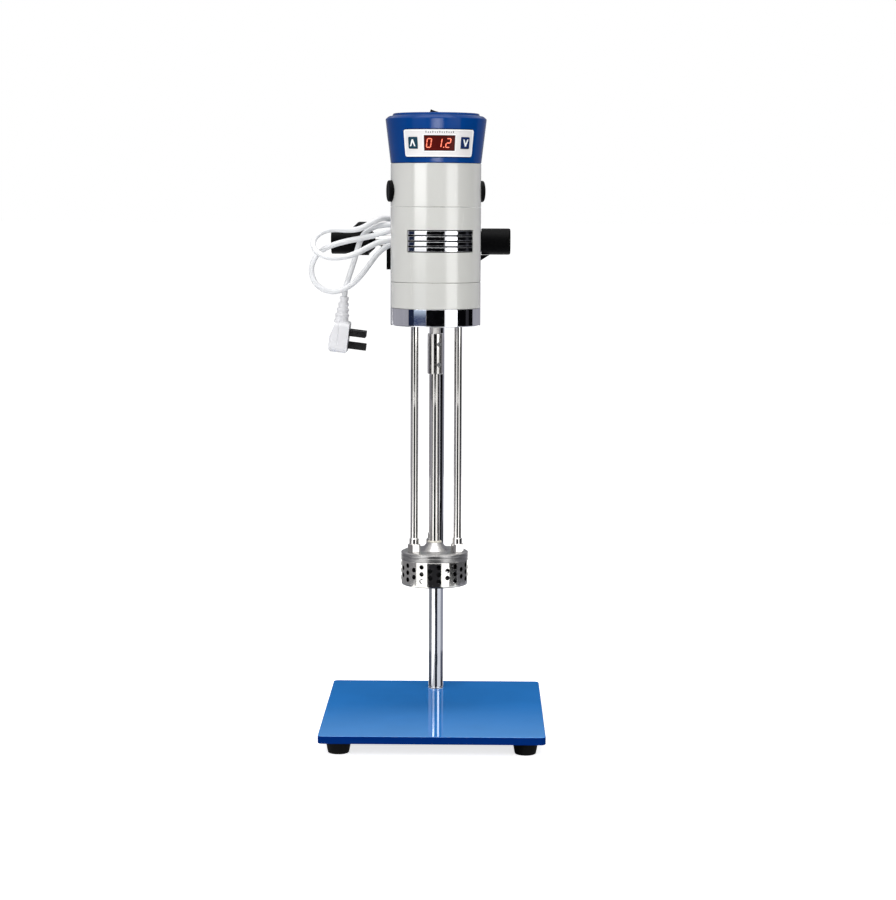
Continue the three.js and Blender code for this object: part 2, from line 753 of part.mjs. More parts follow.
function ventedShell() {
  const bottom = lowerTop + GAP;
  const vent = lowerTop + VENT_BOTTOM;
  const opening = sector(
    shellBore - OVERRUN, HEAD_RADIUS + OVERRUN, VENT_LEFT_ANGLE, VENT_RIGHT_ANGLE,
    vent, vent + VENT_HEIGHT, 8);
  return cut(shell(bottom, middleTop), opening);
}

// A rim with slats across it, set back inside the wall and curved with it
function ventGrille() {
  const outer = HEAD_RADIUS - SEAM_CHAMFER;
  const inner = shellBore + GAP;
  const play = THREE.MathUtils.radToDeg(GAP / inner);
  const [left, right] = [VENT_LEFT_ANGLE + play, VENT_RIGHT_ANGLE - play];
  const bottom = lowerTop + VENT_BOTTOM + GAP;
  const top = lowerTop + VENT_BOTTOM + VENT_HEIGHT - GAP;
  const border = THREE.MathUtils.radToDeg(GRILLE_RIM / outer);
  const rim = cut(
    sector(inner, outer, left, right, bottom, top, GRILLE_STEPS),
    sector(inner - OVERRUN, outer + OVERRUN, left + border, right - border,
      bottom + GRILLE_RIM, top - GRILLE_RIM, GRILLE_STEPS));
  const pitch = (top - bottom - GRILLE_RIM) / (GRILLE_SLATS + 1);
  const slats = Array.from({ length: GRILLE_SLATS }, (_, i) => {
    const middle = bottom + GRILLE_RIM / 2 + pitch * (i + 1);
    return sector(outer - GRILLE_DEPTH, outer - GAP, left + border / 2, right - border / 2,
      middle - GRILLE_SLAT_HEIGHT / 2, middle + GRILLE_SLAT_HEIGHT / 2, GRILLE_STEPS);
  });
  return join(rim, ...slats);
}

const brushCapHole = BRUSH_CAP_RADIUS + GAP;
const brushCapSeat = HEAD_RADIUS - BRUSH_CAP_SEAT;
const glandFace = 180 + GLAND_TURN;

function upperShell() {
  const bottom = middleTop + GAP;
  const deckBottom = upperTop - UPPER_DECK;
  const bearingTop = deckBottom + BEARING_HEIGHT;
  const wall = revolve([
    [shellBore, bottom],
    [HEAD_RADIUS - SEAM_CHAMFER, bottom],
    [HEAD_RADIUS, bottom + SEAM_CHAMFER],
    [HEAD_RADIUS, upperTop - SEAM_CHAMFER],
    [HEAD_RADIUS - SEAM_CHAMFER, upperTop],
    [0, upperTop],
    [0, deckBottom],
    [shellBore, deckBottom],
    [shellBore, bottom],
  ], WIDE_SIDES);
  const holes = [
    rod(bearingSeat, deckBottom - OVERRUN, bearingTop),
    rod(spindleBore, deckBottom, upperTop + OVERRUN),
  ];
  for (const side of [0, 180]) {
    const turn = radians(BRUSH_TURN + side);
    holes.push(alongX(rod(brushCapHole, brushCapSeat, HEAD_RADIUS + OVERRUN))
      .rotateZ(turn).translate(0, 0, BRUSH_LEVEL));
    const narrow = rod(HOLDER_RADIUS + 2 * GAP, shellBore - OVERRUN, HEAD_RADIUS + OVERRUN, BODY_SIDES / 2);
    holes.push(alongX(narrow)
      .rotateZ(turn).translate(0, 0, BRUSH_LEVEL));
  }
  const glandHole = facing(
    alongX(rod(GLAND_RADIUS + GAP, shellBore - OVERRUN, HEAD_RADIUS + OVERRUN)), glandFace)
    .translate(0, 0, GLAND_LEVEL);
  return cut(wall, ...holes, glandHole);
}

// Widens a straight slice with height, as the cap's wall does
function flared(geometry) {
  const places = geometry.getAttribute('position');
  const point = new THREE.Vector3();
  for (let i = 0; i < places.count; i += 1) {
    point.fromBufferAttribute(places, i);
    const across = Math.hypot(point.x, point.y);
    const wider = 1 + (capSlope * (point.z - capBottom)) / across;
    places.setXYZ(i, point.x * wider, point.y * wider, point.z);
  }
  return geometry;
}

function panelSlice(inner, outer, turn, spread, bottom, height, steps) {
  const slice = sector(HEAD_RADIUS + inner, HEAD_RADIUS + outer, turn - spread, turn + spread,
    upperTop + bottom, upperTop + bottom + height, steps);
  return flared(slice);
}

function keyPocket(turn, extra) {
  const half = [KEY_WIDTH / 2 + extra, KEY_HEIGHT / 2 + extra];
  const level = upperTop + PANEL_BOTTOM + KEY_RISE;
  const start = HEAD_RADIUS - KEY_DEPTH - CAP_WALL;
  const pocket = block([start, -half[0], level - half[1]],
    [CAP_RIM_RADIUS + OVERRUN, half[0], level + half[1]]);
  return facing(pocket, turn);
}

const keyTurns = { up_key: PANEL_TURN - KEY_TURN, down_key: PANEL_TURN + KEY_TURN };
const windowTurn = PANEL_TURN + WINDOW_TURN;
const rockerHole = [
  ROCKER_LENGTH / 2 + ROCKER_FRAME_WALL + 2 * GAP,
  ROCKER_WIDTH / 2 + ROCKER_FRAME_WALL + 2 * GAP,
];

function displayCap() {
  const inside = HEAD_RADIUS - CAP_WALL;
  const ceiling = capTop - CAP_TOP;
  const cap = revolve([
    [inside, capBottom],
    [HEAD_RADIUS, capBottom],
    [CAP_RIM_RADIUS, capRim],
    [CAP_SHOULDER_RADIUS, capRim + CAP_SHOULDER],
    [CROWN_RADIUS + SEAM_CHAMFER, capRim + CAP_SHOULDER],
    [CROWN_RADIUS - SEAM_CHAMFER, capTop],
    [0, capTop],
    [0, ceiling],
    [CROWN_RADIUS - CAP_WALL, ceiling],
    [CAP_RIM_RADIUS - 2 * CAP_WALL, capRim - SEAM_CHAMFER],
    [inside, capBottom],
  ], WIDE_SIDES);
  const windowHole = panelSlice(
    -CAP_WALL - OVERRUN, OVERRUN, windowTurn, WINDOW_SPREAD_ANGLE, WINDOW_BOTTOM, WINDOW_HEIGHT, 8);
  const keyHoles = Object.values(keyTurns).map((turn) => keyPocket(turn, GAP));
  const rockerCut = block(
    [ROCKER_X - rockerHole[0], -rockerHole[1], ceiling - OVERRUN],
    [ROCKER_X + rockerHole[0], rockerHole[1], capTop + OVERRUN]);
  return cut(cap, windowHole, ...keyHoles, rockerCut);
}

// The white panel: a plate bent round the cone, with three openings
function displayBezel() {
  const plate = panelSlice(
    GAP, GAP + PANEL_THICK, PANEL_TURN, PANEL_SPREAD_ANGLE, PANEL_BOTTOM, PANEL_HEIGHT, 14);
  const windowHole = panelSlice(
    0, OVERRUN, windowTurn, WINDOW_SPREAD_ANGLE, WINDOW_BOTTOM, WINDOW_HEIGHT, 8);
  const keyHoles = Object.values(keyTurns).map((turn) => keyPocket(turn, GAP));
  return cut(plate, windowHole, ...keyHoles);
}

// The glass of the display and the block of digits behind it
function displayModule() {
  const play = THREE.MathUtils.radToDeg(GAP / HEAD_RADIUS);
  return panelSlice(-MODULE_DEPTH, GAP + PANEL_THICK / 2, windowTurn, WINDOW_SPREAD_ANGLE - play,
    WINDOW_BOTTOM + GAP, WINDOW_HEIGHT - 2 * GAP, 8);
}

function panelKey(turn) {
  const half = [KEY_WIDTH / 2, KEY_HEIGHT / 2];
  const level = upperTop + PANEL_BOTTOM + KEY_RISE;
  const face = HEAD_RADIUS + GAP + PANEL_THICK + KEY_PROUD;
  const slope = capSlope * (level - capBottom);
  const key = block([face - KEY_DEPTH, -half[0], level - half[1]],
    [face, half[0], level + half[1]]);
  const places = key.getAttribute('position');
  for (let i = 0; i < places.count; i += 1) {
    const rise = places.getZ(i) - level;
    places.setX(i, places.getX(i) + slope + capSlope * rise);
  }
  return facing(key, turn);
}

// The board stands across the cap, against the back of the display module
function controlBoard() {
  const moduleBack = HEAD_RADIUS - MODULE_DEPTH + capSlope * WINDOW_BOTTOM;
  const front = moduleBack * Math.cos(radians(WINDOW_SPREAD_ANGLE)) - GAP;
  const level = upperTop + PANEL_BOTTOM + PANEL_HEIGHT / 2;
  const board = block(
    [front - BOARD_THICK, -BOARD_WIDTH / 2, level - BOARD_HEIGHT / 2],
    [front, BOARD_WIDTH / 2, level + BOARD_HEIGHT / 2]);
  return facing(board, windowTurn);
}

function rockerFrame() {
  const [x, y] = [rockerHole[0] - GAP, rockerHole[1] - GAP];
  const lip = ROCKER_FRAME_LIP;
  const seat = capTop + GAP;
  const top = seat + ROCKER_FRAME_RISE;
  const collar = prism(roundedRectangle(2 * (x + lip), 2 * (y + lip), lip), seat, top, 3);
  const body = block([-x, -y, top - ROCKER_FRAME_DEPTH], [x, y, top - GAP]);
  const inside = [ROCKER_LENGTH / 2 + GAP, ROCKER_WIDTH / 2 + GAP];
  const bore = block([-inside[0], -inside[1], top - ROCKER_FRAME_DEPTH - OVERRUN],
    [inside[0], inside[1], top + OVERRUN]);
  return cut(join(collar, body), bore);
}

// A see-saw with a shallow V on top, drawn level and tipped by its mesh's rotation
function rocker() {
  const half = ROCKER_LENGTH / 2 - 2 * GAP;
  const ends = ROCKER_HEIGHT / 2;
  const shape = new THREE.Shape();
  shape.moveTo(-half, 0);
  shape.lineTo(-half * Math.cos(radians(3 * ROCKER_TILT)), -ends);
  shape.lineTo(half * Math.cos(radians(3 * ROCKER_TILT)), -ends);
  shape.lineTo(half, 0);
  shape.lineTo(half - SEAM_CHAMFER, ends - SEAM_CHAMFER);
  shape.quadraticCurveTo(half / 2, ends - ROCKER_DISH, 0, ends - ROCKER_DISH);
  shape.quadraticCurveTo(-half / 2, ends - ROCKER_DISH, -half + SEAM_CHAMFER, ends - SEAM_CHAMFER);
  shape.closePath();
  return prism(shape, -ROCKER_WIDTH / 2 + GAP, ROCKER_WIDTH / 2 - GAP, 4).rotateX(Math.PI / 2);
}

// Motor parts inside the shells

const fieldRadius = shellBore - GAP;
const fieldTop = FIELD_BOTTOM + FIELD_HEIGHT;
const bearingTopLevel = upperTop - UPPER_DECK + BEARING_HEIGHT;

function fieldStack() {
  const stack = tube(fieldRadius, FIELD_BORE, FIELD_BOTTOM, fieldTop, BODY_SIDES);
  const slots = [90, -90].map((side) => sector(FIELD_BORE - OVERRUN, FIELD_BORE + FIELD_WINDOW,
    side - FIELD_WINDOW_ANGLE, side + FIELD_WINDOW_ANGLE,
    FIELD_BOTTOM - OVERRUN, fieldTop + OVERRUN, 5));
  const ends = [];
  for (const face of [FIELD_BOTTOM - COIL_RISE, fieldTop - GAP]) {
    for (const side of [0, 180]) {
      ends.push(sector(
        FIELD_BORE + GAP, FIELD_BORE + COIL_WALL, side - COIL_SPREAD_ANGLE, side + COIL_SPREAD_ANGLE,
        face, face + COIL_RISE + GAP, 5));
    }
  }
  return join(cut(stack, ...slots), ...ends);
}

function armature() {
  const core = FIELD_BORE - AIR_GAP;
  const stack = rod(core, FIELD_BOTTOM, fieldTop, ARMATURE_SLOTS * 3);
  const slots = Array.from({ length: ARMATURE_SLOTS }, (_, i) =>
    block([core - ARMATURE_SLOT_DEPTH, -ARMATURE_SLOT_WIDTH / 2, FIELD_BOTTOM - OVERRUN],
      [core + OVERRUN, ARMATURE_SLOT_WIDTH / 2, fieldTop + OVERRUN])
      .rotateZ((2 * Math.PI * i) / ARMATURE_SLOTS));
  const spindle = rod(SPINDLE_RADIUS, -SPINDLE_DROP, bearingTopLevel, ROD_SIDES);
  const windings = [FIELD_BOTTOM - WINDING_HEIGHT + GAP, fieldTop - GAP].map((bottom) =>
    rod(WINDING_RADIUS, bottom, bottom + WINDING_HEIGHT, ROD_SIDES));
  return join(cut(stack, ...slots), spindle, ...windings);
}

function commutator() {
  const [bottom, top] = [BRUSH_LEVEL - COMMUTATOR_HEIGHT / 2, BRUSH_LEVEL + COMMUTATOR_HEIGHT / 2];
  return tube(COMMUTATOR_RADIUS, spindleBore, bottom, top, ARMATURE_SLOTS * 2);
}

function coolingFan() {
  const top = FAN_BOTTOM + FAN_HEIGHT;
  const disc = rod(FAN_RADIUS, top - FAN_DISC, top, BODY_SIDES);
  const hub = rod(FAN_HUB_RADIUS, FAN_BOTTOM, top);
  const blades = Array.from({ length: FAN_BLADES }, (_, i) =>
    block([FAN_HUB_RADIUS - FAN_BLADE_WALL, -FAN_BLADE_WALL / 2, FAN_BOTTOM],
      [FAN_RADIUS - FAN_BLADE_WALL, FAN_BLADE_WALL / 2, top - FAN_DISC / 2])
      .rotateZ((2 * Math.PI * i) / FAN_BLADES));
  const bore = rod(spindleBore, FAN_BOTTOM - OVERRUN, top + OVERRUN);
  return cut(join(disc, hub, ...blades), bore);
}

function bearing(bottom) {
  const [low, high] = [bottom + GAP, bottom + BEARING_HEIGHT - GAP];
  return tube(BEARING_RADIUS, spindleBore, low, high, ROD_SIDES);
}

// Brush gear: each piece points along +X and its group turns it to its side

const brushFace = COMMUTATOR_RADIUS + GAP;
const brushBack = brushFace + BRUSH_LENGTH;
const holderEnd = brushCapSeat - GAP;

function brush() {
  const half = BRUSH_WIDTH / 2;
  return block([brushFace, -half, -half], [brushBack, half, half]);
}

function brushHolder() {
  const slot = BRUSH_WIDTH / 2 + GAP;
  const body = alongX(rod(HOLDER_RADIUS, HOLDER_START, holderEnd));
  return cut(body, block([HOLDER_START - OVERRUN, -slot, -slot], [holderEnd + OVERRUN, slot, slot]));
}

function brushSpring() {
  const start = brushBack + GAP + SPRING_WIRE;
  const pitch = (holderEnd - GAP - SPRING_WIRE - start) / SPRING_TURNS;
  class Helix extends THREE.Curve {
    getPoint(share, target = new THREE.Vector3()) {
      const angle = 2 * Math.PI * SPRING_TURNS * share;
      return target.set(start + pitch * SPRING_TURNS * share,
        SPRING_RADIUS * Math.cos(angle), SPRING_RADIUS * Math.sin(angle));
    }
  }
  const wire = new THREE.Shape();
  for (let i = 0; i < SPRING_SIDES; i += 1) {
    const angle = (2 * Math.PI * i) / SPRING_SIDES;
    const corner = [SPRING_WIRE * Math.cos(angle), SPRING_WIRE * Math.sin(angle)];
    if (i) wire.lineTo(...corner);
    else wire.moveTo(...corner);
  }
  return new THREE.ExtrudeGeometry(wire, {
    steps: SPRING_TURNS * SPRING_STEPS,
    extrudePath: new Helix(),
    bevelEnabled: false,
  });
}

function brushCap() {
  const face = HEAD_RADIUS + BRUSH_CAP_PROUD;
  const edge = BRUSH_CAP_RADIUS - 2 * SEAM_CHAMFER;
  const cap = alongX(revolve([
    [0, brushCapSeat + GAP],
    [BRUSH_CAP_RADIUS, brushCapSeat + GAP],
    [BRUSH_CAP_RADIUS, face - 2 * SEAM_CHAMFER],
    [edge, face],
    [0, face],
  ], ROD_SIDES));
  const slot = block([face - BRUSH_CAP_SLOT, -BRUSH_CAP_SLOT / 2, -edge],
    [face + OVERRUN, BRUSH_CAP_SLOT / 2, edge]);
  return cut(cap, slot);
}

function makeMotor(head) {
  add(head, 'field_stack', fieldStack(), DARK_STEEL);
  add(head, 'armature', armature(), COPPER);
  add(head, 'commutator', toGeometry(toSolid(commutator())), COPPER);
  add(head, 'cooling_fan', coolingFan(), BLACK_PLASTIC);
  const lower = RING_FLOOR - BEARING_HEIGHT;
  add(head, 'lower_bearing', toGeometry(toSolid(bearing(lower))), STEEL);
  const upper = upperTop - UPPER_DECK;
  add(head, 'upper_bearing', toGeometry(toSolid(bearing(upper))), STEEL);
  for (const [side, turn] of Object.entries({ right: BRUSH_TURN, left: BRUSH_TURN + 180 })) {
    const line = groupAt(head, 0, 0, BRUSH_LEVEL);
    line.rotation.z = radians(turn);
    add(line, `brush_${side}`, brush(), CARBON);
    add(line, `brush_holder_${side}`, brushHolder(), COPPER);
    add(line, `brush_spring_${side}`, toGeometry(toSolid(brushSpring())), STEEL);
    add(line, `brush_cap_${side}`, brushCap(), BLACK_PLASTIC);
  }
}

function makeHead() {
  const head = groupAt(homogenizer, 0, 0, HEAD_BASE);
  add(head, 'end_ring', endRing(), CHROME);
  const lower = shell(ringTop + GAP, lowerTop);
  add(head, 'housing_lower', toGeometry(toSolid(lower)), CREAM_PAINT);
  add(head, 'housing_middle', ventedShell(), CREAM_PAINT);
  add(head, 'housing_upper', upperShell(), CREAM_PAINT);
  add(head, 'vent_grille', ventGrille(), CHROME);
  add(head, 'display_cap', displayCap(), BLUE_CAP);
  add(head, 'display_bezel', displayBezel(), WHITE_PANEL);
  add(head, 'display_module', toGeometry(toSolid(displayModule())), WINDOW_RED);
  add(head, 'control_board', toGeometry(toSolid(controlBoard())), BOARD_GREEN);
  for (const [name, turn] of Object.entries(keyTurns)) {
    add(head, name, toGeometry(toSolid(panelKey(turn))), KEY_BLUE);
  }
  add(head, 'rocker_frame', rockerFrame(), BLACK_PLASTIC).position.set(ROCKER_X, 0, 0);
  const seesaw = add(head, 'power_rocker', toGeometry(toSolid(rocker())), BLACK_PLASTIC);
  seesaw.position.set(ROCKER_X, 0, capTop + ROCKER_FRAME_RISE - ROCKER_SINK);
  seesaw.rotation.y = radians(ROCKER_TILT);
  makeMotor(head);
}

// Coupling, on the spindle under the head

function coupling() {
  const bottom = -COUPLING_DROP;
  const top = bottom + COUPLING_LENGTH;
  const waist = -SPINDLE_DROP - SPINDLE_END / 2;
  const sleeve = revolve([
    [SHAFT_RADIUS + GAP, bottom],
    [COUPLING_RADIUS - SEAM_CHAMFER, bottom],
    [COUPLING_RADIUS, bottom + SEAM_CHAMFER],
    [COUPLING_RADIUS, top - SEAM_CHAMFER],
    [COUPLING_RADIUS - SEAM_CHAMFER, top],
    [spindleBore, top],
    [spindleBore, waist],
    [SHAFT_RADIUS + GAP, waist],
    [SHAFT_RADIUS + GAP, bottom],
  ], ROD_SIDES);
  const holes = SET_SCREW_LEVELS.map((level) =>
    facing(alongX(rod(SET_SCREW_RADIUS + GAP, 0, COUPLING_RADIUS + OVERRUN, PIN_SIDES)), SET_SCREW_TURN)
      .translate(0, 0, bottom + level));
  return cut(sleeve, ...holes);
}

function setScrew(seat) {
  const face = COUPLING_RADIUS - SET_SCREW_SUNK;
  const screw = alongX(rod(SET_SCREW_RADIUS, seat, face, PIN_SIDES));
  const socket = alongX(hexagon(SET_SCREW_RADIUS, face - 2 * SET_SCREW_SUNK, face + OVERRUN));
  return facing(cut(screw, socket), SET_SCREW_TURN);
}

function makeCoupling() {
  const drive = groupAt(homogenizer, 0, 0, HEAD_BASE);
  add(drive, 'coupling', coupling(), STEEL);
  const seats = [SHAFT_RADIUS + GAP, spindleBore];
  ['set_screw_lower', 'set_screw_upper'].forEach((name, i) => {
    const screw = add(drive, name, setScrew(seats[i]), DARK_STEEL);
    screw.position.z = SET_SCREW_LEVELS[i] - COUPLING_DROP;
  });
}

// Clamp. Its group stands on the post's axis at the height of the cross barrel.

const linerRadius = POST_RADIUS + GAP + LINER_WALL;
const saddleInner = HEAD_RADIUS + GAP;
const saddleBottom = SADDLE_BOTTOM - CLAMP_LEVEL;
const saddleTop = saddleBottom + SADDLE_HEIGHT;

function clampWeb() {
  const shape = new THREE.Shape();
  shape.moveTo(-WEB_LEFT, -WEB_DROP);
  shape.lineTo(GRIP_START / 2, -WEB_DROP);
  shape.lineTo(GRIP_START, -GRIP_RADIUS - WEB_SLOPE);
  shape.lineTo(WEB_RIGHT, -GRIP_RADIUS - GAP);
  shape.lineTo(GRIP_START / 2, -GRIP_RADIUS - GAP);
  shape.lineTo(0, 0);
  shape.lineTo(-BOSS_END / 2, 0);
  shape.lineTo(-BOSS_END / 2, -WEB_LEFT_TOP);
  shape.lineTo(-WEB_LEFT - WEB_TONGUE, -WEB_LEFT_TOP);
  shape.lineTo(-WEB_LEFT - WEB_TONGUE, -WEB_LEFT_TOP - WEB_TONGUE_THICK);
  shape.lineTo(-WEB_LEFT, -WEB_LEFT_TOP - WEB_TONGUE_THICK);
  shape.closePath();
  return prism(shape, -WEB_THICK / 2, WEB_THICK / 2, 1).rotateX(Math.PI / 2);
}

function clampBody() {
  const sleeve = rod(SLEEVE_RADIUS, -SLEEVE_BELOW, SLEEVE_ABOVE, BODY_SIDES);
  const barrel = alongX(rod(BARREL_RADIUS, 0, BARREL_END));
  const boss = alongX(rod(BOSS_RADIUS, -BOSS_END, 0));
  const saddle = sector(saddleInner, saddleInner + SADDLE_WALL, 180 - SADDLE_SPREAD_ANGLE,
    180 + SADDLE_SPREAD_ANGLE, saddleBottom, saddleTop, 8).translate(0, -POST_Y, 0);
  const armFront = saddleInner + SADDLE_WALL / 2 - POST_Y;
  const armMiddle = saddleBottom + SADDLE_HEIGHT / 2;
  const arm = block([-ARM_WIDTH / 2, armFront, armMiddle - ARM_HEIGHT / 2],
    [ARM_WIDTH / 2, 0, armMiddle + ARM_HEIGHT / 2]);
  const bore = rod(linerRadius + GAP, -SLEEVE_BELOW - OVERRUN, SLEEVE_ABOVE + OVERRUN, BODY_SIDES);
  const screwHole = alongX(rod(SCREW_RADIUS + GAP, -BOSS_END - OVERRUN, 0));
  const mountHoles = [-1, 1].map((side) => {
    const hole = alongX(rod(CARRIER_SCREW_RADIUS + GAP, HEAD_RADIUS, saddleInner + 2 * SADDLE_WALL));
    return facing(hole, 180 + side * CARRIER_SCREW_TURN)
      .translate(0, -POST_Y, CARRIER_SCREW_LEVEL - CLAMP_LEVEL);
  });
  return cut(join(sleeve, barrel, boss, clampWeb(), saddle, arm), bore, screwHole, ...mountHoles);
}

function slideLiner() {
  const [low, high] = [-SLEEVE_BELOW, SLEEVE_ABOVE];
  return revolve([
    [POST_RADIUS + GAP, low - GAP - LINER_LIP],
    [linerRadius + LINER_LIP, low - GAP - LINER_LIP],
    [linerRadius + LINER_LIP, low - GAP],
    [linerRadius, low - GAP],
    [linerRadius, high + GAP],
    [linerRadius + LINER_LIP, high + GAP],
    [linerRadius + LINER_LIP, high + GAP + LINER_LIP],
    [POST_RADIUS + GAP, high + GAP + LINER_LIP],
    [POST_RADIUS + GAP, low - GAP - LINER_LIP],
  ], ROD_SIDES);
}

function sideGrip() {
  const cup = [BARREL_RADIUS + GAP, BARREL_END + GAP];
  return alongX(revolve([
    [cup[0], GRIP_START],
    [GRIP_RADIUS, GRIP_START],
    ...quarter([GRIP_RADIUS - GRIP_ROUND, GRIP_END - GRIP_ROUND], GRIP_ROUND, 0, 3),
    [0, GRIP_END],
    [0, cup[1]],
    [cup[0], cup[1]],
    [cup[0], GRIP_START],
  ], BODY_SIDES));
}

function clampScrew() {
  const tip = linerRadius + GAP;
  return alongX(revolve([
    [0, -KNOB_BOSS_X - KNOB_SOCKET + GAP],
    [SCREW_RADIUS, -KNOB_BOSS_X - KNOB_SOCKET + GAP],
    [SCREW_RADIUS, -KNOB_BOSS_X + GAP],
    [SCREW_SHANK_RADIUS, -KNOB_BOSS_X + GAP],
    [SCREW_SHANK_RADIUS, -BOSS_END - GAP],
    [SCREW_RADIUS, -BOSS_END - GAP],
    [SCREW_RADIUS, -tip - 2 * SEAM_CHAMFER],
    [SCREW_RADIUS - 2 * SEAM_CHAMFER, -tip],
    [0, -tip],
  ], ROD_SIDES));
}

// Three lobes from one wavy outline, thinned towards the rim on the outer side, with a
// round hub on that side and a cone on the side of the clamp
function clampKnob() {
  const middle = (KNOB_LOBE_RADIUS + KNOB_WAIST_RADIUS) / 2;
  const wave = (KNOB_LOBE_RADIUS - KNOB_WAIST_RADIUS) / 2;
  const points = Array.from({ length: KNOB_STEPS }, (_, i) => {
    const angle = (2 * Math.PI * i) / KNOB_STEPS;
    const reach = middle + wave * Math.cos(KNOB_LOBES * angle);
    return new THREE.Vector2(-reach * Math.cos(angle), reach * Math.sin(angle));
  });
  const wavy = alongX(prism(new THREE.Shape(points), -KNOB_LOBE_X, -KNOB_INNER_X, 1));
  const envelope = alongX(revolve([
    [0, -KNOB_LOBE_X],
    [KNOB_WAIST_RADIUS, -KNOB_LOBE_X],
    [KNOB_LOBE_RADIUS, -KNOB_LOBE_X + KNOB_SLANT],
    [KNOB_LOBE_RADIUS, -KNOB_INNER_X - KNOB_ROUND],
    [KNOB_LOBE_RADIUS - KNOB_ROUND, -KNOB_INNER_X],
    [0, -KNOB_INNER_X],
  ], BODY_SIDES));
  const hub = alongX(revolve([
    [0, -KNOB_OUTER_X],
    [KNOB_HUB_RADIUS - KNOB_ROUND, -KNOB_OUTER_X],
    [KNOB_HUB_RADIUS, -KNOB_OUTER_X + KNOB_ROUND],
    [KNOB_HUB_RADIUS, -KNOB_LOBE_X + KNOB_ROUND],
    [0, -KNOB_LOBE_X + KNOB_ROUND],
  ], BODY_SIDES));
  const boss = alongX(revolve([
    [0, -KNOB_INNER_X - KNOB_ROUND],
    [KNOB_HUB_RADIUS, -KNOB_INNER_X - KNOB_ROUND],
    [KNOB_HUB_RADIUS, -KNOB_INNER_X],
    [KNOB_BOSS_RADIUS, -KNOB_BOSS_X],
    [0, -KNOB_BOSS_X],
  ], ROD_SIDES));
  const socket = alongX(rod(SCREW_RADIUS + GAP, -KNOB_BOSS_X - KNOB_SOCKET, -KNOB_BOSS_X + OVERRUN));
  return cut(join(common(wavy, envelope), hub, boss), socket);
}

function carrierScrew() {
  const seat = saddleInner + SADDLE_WALL + GAP;
  const tip = HEAD_RADIUS + GAP + SEAM_CHAMFER;
  const stem = rod(CARRIER_SCREW_RADIUS, tip, seat + GAP, PIN_SIDES);
  const head = rod(CARRIER_SCREW_HEAD_RADIUS, seat, seat + CARRIER_SCREW_HEAD, PIN_SIDES);
  const socket = hexagon(CARRIER_SCREW_RADIUS, seat + GAP, seat + CARRIER_SCREW_HEAD + OVERRUN);
  return alongX(cut(join(stem, head), socket));
}

function makeClamp() {
  const clamp = groupAt(homogenizer, 0, POST_Y, HEAD_BASE + CLAMP_LEVEL);
  add(clamp, 'slide_liner', toGeometry(toSolid(slideLiner())), NYLON);
  add(clamp, 'clamp_body', clampBody(), BLACK_PAINT);
  add(clamp, 'side_grip', toGeometry(toSolid(sideGrip())), BLACK_PLASTIC);
  add(clamp, 'clamp_screw', toGeometry(toSolid(clampScrew())), STEEL);
  add(clamp, 'clamp_knob', clampKnob(), BLACK_PLASTIC);
  for (const [name, side] of [['carrier_screw_right', -1], ['carrier_screw_left', 1]]) {
    const screw = add(clamp, name, carrierScrew(), DARK_STEEL);
    screw.position.set(0, -POST_Y, CARRIER_SCREW_LEVEL - CLAMP_LEVEL);
    screw.rotation.z = radians(180 + side * CARRIER_SCREW_TURN) - Math.PI / 2;
  }
}

// Mains lead. The points are chosen by hand along the middle of the lead: out of the gland,
// round two loops that hang over the carrier's arm to the left, and down to the plug.

const glandTip = HEAD_RADIUS + GLAND_LENGTH;
const glandDirection = [Math.sin(radians(glandFace)), -Math.cos(radians(glandFace))];

function gland() {
  const base = shellBore + GAP;
  const collarStart = HEAD_RADIUS + GAP;
  const collarEnd = collarStart + GLAND_COLLAR;
  const outline = [
    [0, base],
    [GLAND_RADIUS, base],
    [GLAND_RADIUS, collarStart],
    [GLAND_COLLAR_RADIUS, collarStart],
    [GLAND_COLLAR_RADIUS, collarEnd],
  ];
  const pitch = (glandTip - collarEnd) / (2 * GLAND_RIBS);
  for (let i = 0; i < 2 * GLAND_RIBS; i += 1) {
    const share = i / (2 * GLAND_RIBS - 1);
    const radius = GLAND_RADIUS + (GLAND_TIP_RADIUS - GLAND_RADIUS) * share;
    const groove = i % 2 ? GLAND_RIB_DEPTH : 0;
    outline.push([radius - groove, collarEnd + pitch * i]);
    outline.push([radius - groove, collarEnd + pitch * (i + 1)]);
  }
  outline.push([0, glandTip]);
  return facing(alongX(revolve(outline, PIN_SIDES)), glandFace);
}

